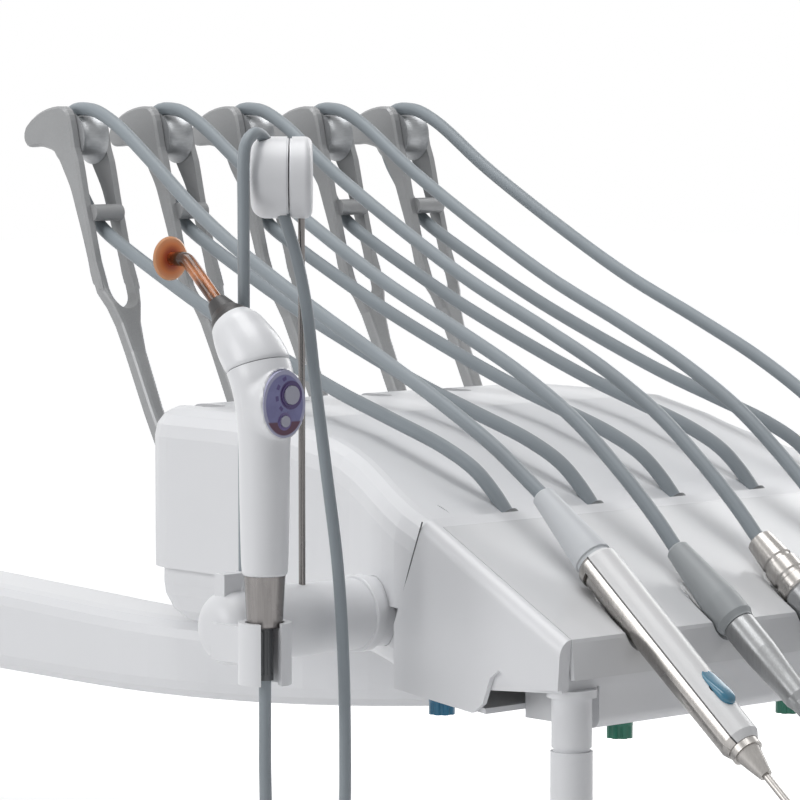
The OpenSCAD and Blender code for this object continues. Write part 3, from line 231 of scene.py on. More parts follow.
class Nodes:
    """A small hand for building one node material."""

    def __init__(self, name):
        self.material = bpy.data.materials.new(name)
        self.material.use_nodes = True
        self.tree = self.material.node_tree
        self.shader = self.tree.nodes["Principled BSDF"]

    def add(self, kind, **values):
        """A node, with its properties and unlinked inputs set."""
        node = self.tree.nodes.new(kind)
        for key, value in values.items():
            if hasattr(node, key):
                setattr(node, key, value)
            else:
                node.inputs[key.replace("_", " ")].default_value = value
        return node

    def link(self, out, into):
        self.tree.links.new(out, into)

    def drive(self, socket, out):
        """Links out to an input of the shader."""
        self.link(out, self.shader.inputs[socket])

    def fix(self, **values):
        """Sets the shader's own sockets."""
        for key, value in values.items():
            self.shader.inputs[key.replace("_", " ")].default_value = value

    def coords(self, stretch=(1, 1, 1), turn=(0, 0, 0), skin=False, shift=(0, 0, 0)):
        """Object coordinates, or the piece's own UV map, stretched, turned and shifted."""
        if skin:
            out = self.add("ShaderNodeUVMap", uv_map="Skin").outputs["UV"]
        else:
            out = self.add("ShaderNodeTexCoord").outputs["Object"]
        mapping = self.add("ShaderNodeMapping", Location=shift, Rotation=turn, Scale=stretch)
        self.link(out, mapping.inputs["Vector"])
        return mapping.outputs["Vector"]

    def noise(self, vector, scale, detail=3.0, roughness=0.5):
        node = self.add("ShaderNodeTexNoise", Scale=scale, Detail=detail, Roughness=roughness)
        self.link(vector, node.inputs["Vector"])
        return node.outputs["Fac"]

    def ramp(self, fac, stops):
        """Colour stops of (position, colour) along fac."""
        node = self.add("ShaderNodeValToRGB")
        elements = node.color_ramp.elements
        while len(elements) < len(stops):
            elements.new(0.5)
        for element, (position, colour) in zip(elements, stops):
            element.position = position
            element.color = (*colour, 1.0)
        self.link(fac, node.inputs["Fac"])
        return node.outputs["Color"]

    def span(self, fac, low, high, from_low=0.0, from_high=1.0):
        """fac, from between its two ends to between low and high."""
        node = self.add("ShaderNodeMapRange", From_Min=from_low, From_Max=from_high, To_Min=low, To_Max=high)
        self.link(fac, node.inputs["Value"])
        return node.outputs["Result"]

    def mix(self, below, above, factor=1.0, blend_type="MIX"):
        """Two colours, each given or linked, mixed by a factor, given or linked."""
        node = self.add("ShaderNodeMix", data_type="RGBA", blend_type=blend_type)
        for socket, value in (("Factor", factor), ("A", below), ("B", above)):
            if isinstance(value, bpy.types.NodeSocket):
                self.link(value, node.inputs[socket])
            elif socket == "Factor":
                node.inputs[socket].default_value = value
            else:
                node.inputs[socket].default_value = (*value, 1)
        return node.outputs["Result"]

    def maths(self, operation, *values):
        """A Math node with each input given or linked."""
        node = self.add("ShaderNodeMath", operation=operation)
        for socket, value in zip(node.inputs, values):
            if isinstance(value, bpy.types.NodeSocket):
                self.link(value, socket)
            else:
                socket.default_value = value
        return node.outputs[0]

    def length(self, vector):
        node = self.add("ShaderNodeVectorMath", operation="LENGTH")
        self.link(vector, node.inputs[0])
        return node.outputs["Value"]

    def parts(self, vector):
        """The X, Y and Z of a vector."""
        node = self.add("ShaderNodeSeparateXYZ")
        self.link(vector, node.inputs[0])
        return node.outputs

    def bump(self, height, distance, strength):
        """Links the height to the shader's normal."""
        node = self.add("ShaderNodeBump", Strength=strength, Distance=distance)
        self.link(height, node.inputs["Height"])
        self.drive("Normal", node.outputs["Normal"])


def shade(colour, k):
    """A colour times k."""
    return tuple(min(1.0, c * k) for c in colour)


def moulded(name, colour, rough=0.34, tone=0.02, coat=0.0):
    """Injection-moulded plastic: faint cloudy tone, a fine orange peel and slightly uneven gloss."""
    n = Nodes(name)
    at = n.coords()
    cloud = n.noise(at, 9.0, 2.0, 0.4)
    stops = [(0.3, shade(colour, 1 - tone)), (0.7, shade(colour, 1 + tone * 0.4))]
    n.drive("Base Color", n.ramp(cloud, stops))
    n.drive("Roughness", n.span(cloud, rough - 0.02, rough + 0.03, 0.3, 0.7))
    n.bump(n.noise(at, 420.0, 1.0), 0.000012, 0.6)
    n.fix(Coat_Weight=coat, Coat_Roughness=0.12)
    return n.material


def sprayed_casting(name, colour, rough=0.42):
    """Painted die casting: a fine metallic grain, cloudy tone and rubbed, shinier places."""
    n = Nodes(name)
    at = n.coords()
    fine = n.noise(at, 2600.0, 1.0)
    cloud = n.noise(at, 30.0, 4.0, 0.65)
    tone = n.ramp(cloud, [(0.25, shade(colour, 0.93)), (0.75, shade(colour, 1.05))])
    grain = n.ramp(fine, [(0.35, (0.86, 0.86, 0.86)), (0.65, (1.0, 1.0, 1.0))])
    n.drive("Base Color", n.mix(tone, grain, blend_type="MULTIPLY"))
    n.drive("Roughness", n.span(cloud, rough - 0.08, rough + 0.08, 0.3, 0.7))
    n.bump(fine, 0.00004, 0.6)
    n.fix(Metallic=0.35)
    return n.material


def worked_metal(name, colour, along=(1, 1, 1), turn=(0, 0, 0), rough=0.24, metallic=1.0, cut=0.25):
    """Turned or brushed metal: fine lines, long where along is small, over a cloudy sheen."""
    n = Nodes(name)
    lined = n.noise(n.coords(along, turn), 900.0, 3.0, 0.7)
    cloud = n.noise(n.coords(), 45.0, 3.0)
    n.drive("Base Color", n.ramp(lined, [(0.3, shade(colour, 0.86)), (0.7, shade(colour, 1.06))]))
    n.drive("Roughness", n.span(cloud, rough - 0.05, rough + 0.09, 0.3, 0.7))
    n.bump(lined, 0.00001, cut)
    n.fix(Metallic=metallic)
    return n.material


def hose_skin(name, colour):
    """Extruded silicone on the tube's own UV: faint lengthwise lines, specks of lint, a soft sheen."""
    n = Nodes(name)
    draw = n.noise(n.coords((26.0, 3.0, 1.0), skin=True), 1.0, 3.0, 0.6)
    fine = n.noise(n.coords(), 1500.0, 2.0)
    cloud = n.noise(n.coords(), 22.0, 3.0)
    tone = n.ramp(cloud, [(0.3, shade(colour, 0.94)), (0.7, shade(colour, 1.05))])
    lines = n.ramp(draw, [(0.3, (0.9, 0.9, 0.9)), (0.7, (1.0, 1.0, 1.0))])
    n.drive("Base Color", n.mix(tone, lines, blend_type="MULTIPLY"))
    n.drive("Roughness", n.span(fine, 0.42, 0.58, 0.3, 0.7))
    n.bump(fine, 0.00003, 0.5)
    n.fix(Sheen_Weight=0.15, Sheen_Roughness=0.5)
    return n.material


def clear_amber(name, colour, tip, rough=0.12):
    """Tinted acrylic: amber with long darker and lighter streaks of painted reflection, nearly black where
    it bends to the tip.
    """
    n = Nodes(name)
    reflection_streaks = n.noise(n.coords((2.2, 0.25, 0.25)), 260.0, 2.0)
    away = n.length(n.coords(shift=tuple(-tip)))
    # Painted reflections: streaks from a fifth to 1.6 times the amber stand in for what the rod reflects
    amber = n.ramp(reflection_streaks, [(0.38, shade(colour, 0.2)), (0.5, colour), (0.66, shade(colour, 1.6))])
    dark = [
        (0.0, (0.75, 0.4, 0.3)), (0.25, (0.08, 0.07, 0.07)),
        (0.5, (0.12, 0.10, 0.10)), (1.0, (1.0, 1.0, 1.0)),
    ]
    bend = n.ramp(n.span(away, 0, 1, 0.003, 0.024), dark)
    n.drive("Base Color", n.mix(amber, bend, blend_type="MULTIPLY"))
    n.drive("Roughness", n.span(reflection_streaks, rough - 0.04, rough + 0.06, 0.3, 0.7))
    n.fix(Transmission_Weight=0.2, IOR=1.49)
    return n.material


def shield_disc(name, centre):
    """The orange shield, with painted shade and light: darkest round its bore and paler to its rim, by
    distance from its middle.
    """
    n = Nodes(name)
    away = n.length(n.coords(shift=tuple(-centre)))
    # Painted shade near the bore and painted light towards the rim
    stops = [
        (0.0, (0.22, 0.02, 0.012)), (0.34, (0.46, 0.07, 0.02)),
        (0.62, (0.86, 0.30, 0.10)), (1.0, (0.93, 0.54, 0.30)),
    ]
    n.drive("Base Color", n.ramp(n.span(away, 0.0, 1.0, 0.001, 0.0118), stops))
    n.drive("Roughness", n.span(n.noise(n.coords(), 90.0, 2.0), 0.26, 0.36, 0.3, 0.7))
    n.fix(Transmission_Weight=0.3, IOR=1.45)
    return n.material


def keypad_print(name):
    """Printed membrane: a lavender oval with a pale rim, a dark ring with dots round the large key
    and a maroon crescent below the small one."""
    n = Nodes(name)

    def reach(x, z, wide=1.0, high=1.0):
        """Vector and distance in the keypad's plane from (x, z), with each direction divided."""
        at = in_frame([LIGHT[0] + x, 0, z])
        vector = n.coords((1 / wide, 0, 1 / high), shift=(-at[0] / wide, 0, -at[2] / high))
        return vector, n.length(vector)

    def band(value, low, high, soft=0.0002):
        """One between low and high."""
        above = n.span(value, 0, 1, low - soft, low + soft)
        return n.maths("MULTIPLY", above, n.span(value, 1, 0, high - soft, high + soft))

    _, oval = reach(0, KEYPAD_Z, 14.0, 17.2)
    large_at, large = reach(*LARGE_KEY)
    small_at, small = reach(*SMALL_KEY)
    lavender = [(0.3, (0.155, 0.15, 0.33)), (0.7, (0.20, 0.20, 0.40))]
    tint = n.ramp(n.noise(n.coords(), 160.0, 2.0), lavender)
    rim = band(oval, 0.00088, 0.0015, 0.00002)
    tint = n.mix(tint, (0.40, 0.40, 0.55), rim)

    x, _, z = n.parts(large_at)
    dots_round = 10.0
    wave = n.maths("SINE", n.maths("MULTIPLY", n.maths("ARCTAN2", z, x), dots_round))
    dots = n.maths("MULTIPLY", band(large, 0.0084, 0.0104), n.span(wave, 0, 1, 0.1, 0.3))
    left = n.span(x, 1, 0, -0.0035, -0.0015)
    tint = n.mix(tint, (0.07, 0.045, 0.19), n.maths("MULTIPLY", dots, left))
    tint = n.mix(tint, (0.06, 0.03, 0.15), band(large, 0.0, 0.0074))

    below = n.span(n.parts(small_at)[2], 1, 0, -0.0006, 0.0002)
    crescent = n.maths("MULTIPLY", band(oval, 0.0, 0.00093, 0.00002), below)
    tint = n.mix(tint, (0.075, 0.012, 0.045), crescent)
    tint = n.mix(tint, (0.16, 0.12, 0.30), band(small, 0.0, 0.0046))
    n.drive("Base Color", tint)
    n.drive("Roughness", n.span(oval, 0.26, 0.32, 0.0, 0.001))
    return n.material


# Turns a metal's lines on to the instruments' axis
TOOL_TURN = (math.pi / 2 - REST_SLOPE, 0, 0)


def split_cover(name, white, steel):
    """The syringe's shell on its own axis: moulded above a plane that leans to the left, brushed
    steel below it, with a dark line of painted shade for the groove between."""
    n = Nodes(name)
    lean = math.radians(28)
    across = TOOL_UP * math.cos(lean) + np.array([1.0, 0, 0]) * math.sin(lean)
    foot = in_frame([ARM_X[0], *REST])
    dot = n.add("ShaderNodeVectorMath", operation="DOT_PRODUCT")
    n.link(n.coords(shift=tuple(-foot)), dot.inputs[0])
    dot.inputs[1].default_value = across
    height = dot.outputs["Value"]
    upper = n.span(height, 0, 1, -0.0001, 0.0001)
    lined = n.noise(n.coords((1, 1, 0.03), TOOL_TURN), 900.0, 3.0, 0.7)
    brushed = n.ramp(lined, [(0.3, shade(steel, 0.85)), (0.7, shade(steel, 1.08))])
    plastic = n.ramp(n.noise(n.coords(), 9.0), [(0.3, shade(white, 0.98)), (0.7, white)])
    # Painted shade: a near-black band along the groove, on a surface with no hollow there
    groove_shade_half = 0.00045
    groove_shade = n.maths("COMPARE", height, 0.0, groove_shade_half)
    n.drive("Base Color", n.mix(n.mix(brushed, plastic, upper), (0.05, 0.05, 0.052), groove_shade))
    n.drive("Metallic", n.span(upper, 1.0, 0.0))
    n.drive("Roughness", n.span(upper, 0.25, 0.3))
    return n.material


FINISHES = {}


def make_finishes(colours):
    """One node material for each material slot of the CAD nodes."""
    white, grey, hose = tuple(colours.housing), tuple(colours.casting), tuple(colours.hose)
    shield_middle = np.mean(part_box("light_shield"), axis=0)
    upright, crosswise = (1, 1, 0.03), (0.05, 1, 1)
    made = [
        moulded("housing_white", white, 0.36),
        moulded("arm_white", shade(white, 1.01), 0.34),
        moulded("light_white", shade(white, 1.03), 0.3),
        moulded("boot_white", (0.62, 0.64, 0.66), 0.5),
        moulded("boot_grey", (0.36, 0.38, 0.39), 0.5, 0.06),
        moulded("gland_grey", (0.12, 0.125, 0.13), 0.5, 0.08),
        moulded("mat_grey", (0.76, 0.765, 0.775), 0.2),
        moulded("knob_blue", (0.012, 0.14, 0.25), 0.32, 0.08),
        moulded("knob_green", (0.012, 0.16, 0.10), 0.32, 0.08),
        moulded("button_blue", (0.012, 0.17, 0.28), 0.2, 0.1, 0.4),
        moulded("key_grey", (0.42, 0.42, 0.50), 0.35, 0.06),
        moulded("nose_dark", (0.03, 0.028, 0.028), 0.45, 0.1),
        split_cover("tool_white", (0.78, 0.78, 0.78), (0.36, 0.345, 0.33)),
        keypad_print("keypad_blue"),
        sprayed_casting("cast_grey", grey),
        hose_skin("hose_grey", hose),
        worked_metal("roller_metal", (0.40, 0.41, 0.42), crosswise, rough=0.4, metallic=0.7, cut=0.05),
        worked_metal("steel", (0.20, 0.19, 0.185), upright),
        worked_metal("tool_steel", (0.36, 0.345, 0.33), upright, TOOL_TURN, 0.26),
        worked_metal("tool_grey", (0.33, 0.335, 0.34), upright, TOOL_TURN, 0.34, 0.7),
        worked_metal("chassis_steel", (0.45, 0.45, 0.46), crosswise, rough=0.42),
        worked_metal("spring_steel", (0.30, 0.30, 0.31), (0.1, 1, 1), rough=0.35),
        worked_metal("bush_bronze", (0.52, 0.36, 0.17), (1, 1, 0.05), rough=0.3),
        clear_amber("guide_amber", (0.45, 0.16, 0.055), shield_middle),
        shield_disc("shield_orange", shield_middle),
    ]
    for material in made:
        FINISHES[material.name.split(".")[0]] = material


def dress_nodes():
    """Each CAD node takes the finish of its own material slot."""
    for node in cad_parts.values():
        for slot in node.material_slots:
            known = slot.material.name.split(".")[0] if slot.material else ""
            if known not in FINISHES:
                raise RuntimeError(f"no finish for {node.name}: {known}")
            slot.material = FINISHES[known]


# Hoses and the light's cord

GLAND_START = [13.0, -135.98, 83.31]
HOSE_LOW = [
    [13, -124, 95.5], [12, -110, 107], [11, -86, 118], [9, -45, 131], [7, -5, 143.5], [5, 45, 161.5],
    [3, 100, 183], [1, 149, 205], [0, 183, 221], [0, 199, 229], [0, 210.5, 237], [0, 219, 246.5],
    [0, 227, 257], [0, 235, 267.5],
]
HOSE_HIGH_SHORT = [
    [0, 217, 302.6], [0, 208, 301.2], [0, 189, 293.1], [0, 152, 269.3], [0, 118, 246], [0, 79, 223.5],
    [0, 20, 195], [0, -40, 168.5], [0, -100, 141.5], [0, -140, 121], [0, -160, 108.5],
]
HOSE_HIGH_LONG = [
    [0, 217, 302.6], [0, 208, 301.2], [0, 189, 293.1], [0, 152, 270], [0, 132, 258.5], [0, 78, 230],
    [0, 20, 202], [0, -42, 177], [0, -91, 156], [0, -135, 132], [0, -170, 106], [0, -195, 84.5],
]
CORD_UP = [
    [-268.5, -95, 62], [-268.5, -95, 74], [-268.5, -95, 110], [-268.5, -95, 160], [-268.5, -95, 210],
    [-268.5, -95, 250], [-268.5, -95, 275], [-266.8, -94.5, 284], [-262.3, -93, 288.6], [-256.2, -91, 290.4],
]
CORD_IN_GUIDE = [
    [-250.1, -88.8, 288.6], [-245.6, -87.4, 283.9], [-243.9, -87.2, 277], [-243.4, -90.4, 262],
    [-241.4, -97, 244], [-239, -103, 225],
]
CORD_DOWN = [
    [-236.8, -108, 200], [-235, -113, 160], [-232, -118, 115], [-228, -122.5, 65], [-226, -124.5, 20],
    [-225, -125, -30], [-227, -126, -75], [-234, -127.5, -104], [-247, -129, -119], [-262, -130.5, -118],
    [-276, -131, -103], [-283, -131, -75], [-285, -131, -40], [-285, -131, -15], [-285, -131, 10],
]

# The point of the guide where the cord's rising piece meets its falling one
CORD_JOIN = np.array(CORD_IN_GUIDE[3])

# The first angle, last angle and step of the hose's points round its roller, in degrees
WRAP_FROM, WRAP_TO, WRAP_STEP = -20, 80, 24.4

# Where the syringe's hose and the others end along the instrument's axis from REST, and where
# each is split in Y into its run and its tail
SYRINGE_HOSE_END, TOOL_HOSE_END = -52.0, -5.0
SYRINGE_SPLIT_Y, TOOL_SPLIT_Y = -100.0, -135.0

CORD_SIDES = 20


def hose_route(i, diameter):
    """The hose's points: gland, lower run, round the roller and down to the instrument's boot."""
    clear = ROLLER_WAIST + diameter / 2 + ROLLER_AIR
    wrap = clear / math.cos(math.radians(WRAP_STEP / 2))
    a = np.radians(np.arange(WRAP_FROM, WRAP_TO, WRAP_STEP))
    turn = np.stack([0 * a, ROLLER[0] + wrap * np.cos(a), ROLLER[1] + wrap * np.sin(a)], 1)
    end = [0, *REST] + (SYRINGE_HOSE_END if i == 0 else TOOL_HOSE_END) * TOOL_AXIS
    end = end - TOOL_DROP[i] * TOOL_UP
    high = HOSE_HIGH_SHORT if i == 0 else HOSE_HIGH_LONG
    return np.vstack([[GLAND_START], HOSE_LOW, turn, high, [end]]) + [ARM_X[i], 0, 0]


def hang_cord(name, path, diameter, reference):
    """A tube along path, in millimetres, whose two ends go into the object."""
    piece = skins(name, [tube_rings(path, diameter / 2, CORD_SIDES, reference)], FINISHES["hose_grey"])
    return piece


def make_hose(i, diameter):
    """One instrument's hose: the run over the roller, and the tail down to its instrument."""
    path = spline(hose_route(i, diameter), 4.0)
    top = int(np.argmax(path[:, 2]))
    split_y = SYRINGE_SPLIT_Y if i == 0 else TOOL_SPLIT_Y
    cut = top + int(np.argmin(np.abs(path[top:, 1] - split_y)))
    number = i + 1
    run = hang_cord(f"hose_run_{number}", path[: cut + 1], diameter, (1, 0, 0))
    tail = hang_cord(f"hose_tail_{number}", path[cut:], diameter, (1, 0, 0))
    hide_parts(f"hose_{number}")
    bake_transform(run)
    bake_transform(tail)


def make_light_cord(diameter):
    """The light's cord: up from the knuckle into the guide, then down, round and up to the light."""
    whole = spline(np.vstack([CORD_UP, CORD_IN_GUIDE, CORD_DOWN]), 3.5)
    cut = int(np.argmin(np.linalg.norm(whole - CORD_JOIN, axis=1)))
    rise = hang_cord("light_cord_rise", whole[: cut + 1], diameter, (0, 1, 0))
    fall = hang_cord("light_cord_fall", whole[cut:], diameter, (0, 1, 0))
    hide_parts("light_cord")
    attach(rise, "holder")
    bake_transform(fall)


# Housing's small pieces and the syringe's key


def half_width(y):
    """Half the housing's width at y: 161 behind, 188 in front, a smooth step between."""
    return 161 + 27 * smooth_step(np.clip((-35 - y) / 103, 0, 1))


def set_in_head(piece):
    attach(piece, "head")


def make_skirt():
    """The trough's wall that the hoses come up through: z = 91 - 11 u^1.3 from cover to tray."""
    u = np.linspace(0, 1, 15)
    y, z = -121.2 - 23.4 * u, 90.9 - 11 * u**1.3
    thick = 1.4
    below, above = np.stack([y, z - thick], 1), np.stack([y, z], 1)[::-1]
    across = np.linspace(-155.6, 155.6, 24)
    skirt = skins("trough_skirt", [bar_rings(np.vstack([below, above]), across)], FINISHES["housing_white"])
    set_in_head(skirt)


def make_seam_shade_strips():
    """A fine dark round strip in the seam of each side, on the housing's half width: painted shade for the
    seam.
    """
    v = np.linspace(0.02, 1, 24)
    y, z = -145 + 23 * v, 87 - 58 * v
    radius, sunk, sides = 0.42, 0.05, 8
    seams = [np.stack([side * (half_width(y) - sunk), y, z], 1) for side in (-1, 1)]
    strips = [tube_rings(seam, radius, sides, (0, 1, 0)) for seam in seams]
    # Painted shade: dark strips where the seam holds only shade
    set_in_head(skins("seam_shade_strips", strips, FINISHES["gland_grey"]))


def make_liners():
    """A thin plate that closes the bottom of the scoop in each side."""
    scoop = [(-193, 1.5), (-193, 24), (-226, 24), (-247, 14), (-247, 5.5)]
    plates = [bar_rings(scoop, x) for x in ([-184.9, -184.2], [184.2, 184.9])]
    set_in_head(skins("scoop_liners", plates, FINISHES["housing_white"]))


def make_syringe_key():
    """A long wedge key on the syringe: half ovals across the tool, as high as a rounded ramp along it."""
    middle, half_length = 104, 12.5
    s = middle + half_length * np.sin(np.linspace(-0.5, 0.5, 33) * math.pi)
    t = (s - middle + half_length) / (2 * half_length)
    edge = np.sqrt(np.clip(1 - (2 * t - 1) ** 4, 0, 1))
    wide, high = 4.9 * edge + 0.05, (0.6 + 3.4 * smooth_step(t)) * edge + 0.05
    a = circle_angles(36)
    squareness, root, skin_height = 0.6, 1.2, 11.2
    across = wide[:, None] * np.sign(np.cos(a)) * np.abs(np.cos(a)) ** squareness
    crown = high[:, None] * np.abs(np.sin(a)) ** squareness
    up = skin_height + np.where(np.sin(a) > 0, crown, root * np.sin(a))
    foot = np.array([ARM_X[0], *REST])
    rings = foot + s[:, None, None] * TOOL_AXIS + across[..., None] * [1, 0, 0] + up[..., None] * TOOL_UP
    key = skins("syringe_key", [rings[:, ::-1]], FINISHES["button_blue"], 60)
    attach(key, "syringe_button")
    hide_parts("syringe_button")


# Curing light

# Sections along the handle, the seal and the head: (back from the axis, up, lean in degrees, radius)
HANDLE_SECTIONS = [
    (0, 64, 0, 10.4), (0, 64.8, 0, 11.5), (0, 67, 0, 11.9), (0, 98, 0, 12.8), (0, 135, 0, 13.5),
    (0, 150, 0, 14.8), (0.5, 159, 6, 16.0), (2, 165.5, 13, 16.6), (4.6, 171, 20, 16.6),
]
SEAL_SECTIONS = [(4.5, 170.7, 20, 16.1), (4.6, 171.05, 20, 16.1), (4.75, 171.5, 20, 16.1)]
HEAD_SECTIONS = [
    (4.7, 171.4, 20, 16.0), (5.1, 172.3, 21, 16.7), (10.9, 179.2, 33, 16.6), (16.6, 184.6, 43, 15.4),
    (21.5, 189.4, 48, 13.9), (25.4, 192.5, 49, 11.9),
]

# The keypad's boss: how far it stands out from the axis, and its half width and half height
BOSS_OUT, BOSS_WIDE, BOSS_HIGH = 15.7, 14.9, 18.1
# Half width and half height of the flat oval under the keypad
FLAT_WIDE, FLAT_HIGH = 14.3, 17.5


def light_circles(sections, step=0.8):
    """A smooth curve through the sections, the circle's angles, and each circle's lean and radius."""
    fine = spline(sections, step)
    return fine, circle_angles(96)[None], np.radians(fine[:, 2, None]), fine[:, 3, None]


def placed_rings(fine, a, lean, r):
    """Points of the tipped circles, or of other closed curves whose radius is r at angle a."""
    x = LIGHT[0] + r * np.cos(a)
    y = LIGHT[1] + fine[:, 0, None] + r * np.sin(a) * np.cos(lean)
    z = fine[:, 1, None] - r * np.sin(a) * np.sin(lean)
    return np.stack([x, y, z], -1)


def soft_max(a, b, k):
    """The larger of a and b, with a round fillet of width k where they meet."""
    h = np.maximum(k - np.abs(a - b), 0) / k
    return np.maximum(a, b) + h * h * k / 4


def handle_rings():
    """A tapering round grip whose radius swells, with a fillet, to the keypad's flat oval boss."""
    fine, a, lean, r = light_circles(HANDLE_SECTIONS)
    up = placed_rings(fine, a, lean, r)[:, :, 2] - KEYPAD_Z
    front = np.sin(a) < 0
    out, side = np.maximum(-np.sin(a), 1e-3), np.maximum(np.abs(np.cos(a)), 1e-3)
    wide = BOSS_WIDE * np.sqrt(np.maximum(1 - (up / BOSS_HIGH) ** 2, 0))
    edge_round, foot_round = 1.4, 3.2
    boss = -soft_max(-BOSS_OUT / out, -wide / side, edge_round) * front
    full = soft_max(r, boss, foot_round)
    flat = ((full * np.cos(a)) / FLAT_WIDE) ** 2 + (up / FLAT_HIGH) ** 2 < 1
    full = np.where(flat & front, np.minimum(full, BOSS_OUT / out), full)
    return placed_rings(fine, a, lean, full)


def make_light():
    """The light's handle and, above a thin dark seal, its bent head."""
    head_rings = placed_rings(*light_circles(HEAD_SECTIONS))
    seal_rings = placed_rings(*light_circles(SEAL_SECTIONS, 0.4))
    handle = skins("curing_light_handle", [handle_rings()], FINISHES["light_white"], 50)
    head = skins("curing_light_head", [head_rings], FINISHES["light_white"], 50)
    seal = skins("light_seal", [seal_rings], FINISHES["gland_grey"])
    for piece, slot in ((handle, "light_white"), (head, "light_white"), (seal, "gland_grey")):
        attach(piece, "light")
    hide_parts("light_handle")
    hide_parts("light_head")


# Stage

# The middle of what the lamps face, in frame metres
LIT_MIDDLE = np.array([0.10, -0.55, 0.18])

# The floor's half width and how far it lies below the object, in metres
FLOOR_HALF, FLOOR_BELOW = 12.0, 0.16

# The camera's place from the head's swivel in millimetres, and the way it looks
CAMERA_AT = [-1599.6, -1695.0, 303.98]
CAMERA_LOOKS = [0.6673, 0.7412, -0.0731]


def placed(columns, place):
    """A matrix from three axes and a place."""
    matrix = np.eye(4)
    matrix[:3, :3] = np.stack(columns, 1)
    matrix[:3, 3] = place
    return Matrix(matrix.tolist())


def add_lamp(name, offset, size, power):
    """A rectangular soft box at an offset from the lit middle, facing it, in metres and watts."""
    light = bpy.data.lights.new(name, "AREA")
    light.shape = "RECTANGLE"
    light.size, light.size_y = size
    light.energy = power
    lamp = bpy.data.objects.new(name, light)
    back = unit(offset)
    side = unit(np.cross((0, 0, 1), back))
    lamp.matrix_world = placed([side, np.cross(back, side), back], LIT_MIDDLE + offset)
    bpy.context.scene.collection.objects.link(lamp)


def add_camera():
    """The camera at the photograph's angle."""
    camera = bpy.data.cameras.new("photo_camera")
    camera.sensor_width, camera.lens = 36.0, 180.0
    camera.clip_start, camera.clip_end = 0.1, 50.0
    eye = bpy.data.objects.new("photo_camera", camera)
    forward = unit(CAMERA_LOOKS)
    right = unit(np.cross(forward, (0, 0, 1)))
    eye.matrix_world = placed([right, np.cross(right, forward), -forward], in_frame(CAMERA_AT))
    bpy.context.scene.collection.objects.link(eye)
    bpy.context.scene.camera = eye


def seen_ray(tree):
    """One where the ray comes from the camera, a mirror or clear glass."""
    path = tree.nodes.new("ShaderNodeLightPath")
    total = path.outputs["Is Camera Ray"]
    for name in ("Is Glossy Ray", "Is Transmission Ray"):
        most = tree.nodes.new("ShaderNodeMath")
        most.operation = "MAXIMUM"
        tree.links.new(total, most.inputs[0])
        tree.links.new(path.outputs[name], most.inputs[1])
        total = most.outputs[0]
    return total


def pale_floor(ambient):
    """A matt pale floor that keeps the shadows near the object.

    Further off it glows for the rays that see it, and so meets the white background."""
    n = Nodes("floor_pale")
    pale = [(0.3, (0.88, 0.88, 0.88)), (0.7, (0.90, 0.90, 0.90))]
    n.drive("Base Color", n.ramp(n.noise(n.coords(), 2.0), pale))
    near_glow, far_glow, near, far = 0.12, 1.0 - 0.8 * ambient, 0.6, 1.2
    glow = n.span(n.length(n.coords()), near_glow, far_glow, near, far)
    n.drive("Emission Strength", n.maths("MULTIPLY", glow, seen_ray(n.tree)))
    n.fix(Roughness=0.95, Specular_IOR_Level=0.1, Emission_Color=(1, 1, 1, 1))
    return n.material


def add_floor(ambient):
    """A wide square below the object."""
    mesh = bpy.data.meshes.new("floor")
    half, z = FLOOR_HALF, CAD_BOX[0][2] - FLOOR_BELOW
    corners = [(-half, -half, z), (half, -half, z), (half, half, z), (-half, half, z)]
    mesh.from_pydata(corners, [], [(0, 1, 2, 3)])
    floor = bpy.data.objects.new("floor", mesh)
    bpy.context.scene.collection.objects.link(floor)
    mesh.materials.append(pale_floor(ambient))


def add_world(ambient):
    """Even light from the room, and white for the rays that see it."""
    world = bpy.data.worlds.new("studio")
    bpy.context.scene.world = world
    world.use_nodes = True
    tree = world.node_tree
    tree.nodes.clear()
    out = tree.nodes.new("ShaderNodeOutputWorld")
    mix = tree.nodes.new("ShaderNodeMixShader")
    tree.links.new(seen_ray(tree), mix.inputs["Fac"])
    for socket, colour, strength in ((1, (0.93, 0.95, 1.0, 1), ambient), (2, (1, 1, 1, 1), 1.0)):
        sky = tree.nodes.new("ShaderNodeBackground")
        sky.inputs["Color"].default_value = colour
        sky.inputs["Strength"].default_value = strength
        tree.links.new(sky.outputs[0], mix.inputs[socket])
    tree.links.new(mix.outputs[0], out.inputs["Surface"])


def make_stage(look):
    """World, floor, soft boxes and camera."""
    bpy.context.scene.view_settings.view_transform = "Standard"
    add_world(look.ambient)
    add_floor(look.ambient)
    add_lamp("key_box", (-0.3, 0.1, 2.3), (1.9, 1.4), look.key)
    add_lamp("side_box", (-2.3, 0.5, 0.8), (1.3, 1.3), look.side)
    add_lamp("back_box", (2.3, 0.5, 1.0), (1.4, 1.4), look.back)
    add_camera()


# Add-on


class HeadSizes(bpy.types.PropertyGroup):
    """Sizes that a user would change."""

    hose_diameter: bpy.props.FloatProperty(
        name="Hose diameter", description="Outer diameter of an instrument hose",
        default=0.008, min=0.006, max=0.0084, subtype="DISTANCE", unit="LENGTH",
    )
    cord_diameter: bpy.props.FloatProperty(
        name="Light cord diameter", description="Outer diameter of the curing light's cord",
        default=0.0064, min=0.005, max=0.0068, subtype="DISTANCE", unit="LENGTH",
    )


class HeadColours(bpy.types.PropertyGroup):
    """Colours that a user would change."""

    housing: bpy.props.FloatVectorProperty(
        name="Housing", description="Colour of the moulded shells",
        default=(0.78, 0.785, 0.80), min=0, max=1, subtype="COLOR",
    )
    casting: bpy.props.FloatVectorProperty(
        name="Whip arms", description="Colour of the sprayed castings",
        default=(0.36, 0.365, 0.37), min=0, max=1, subtype="COLOR",
    )
    hose: bpy.props.FloatVectorProperty(
        name="Hoses", description="Colour of the hoses and the light's cord",
        default=(0.27, 0.305, 0.33), min=0, max=1, subtype="COLOR",
    )


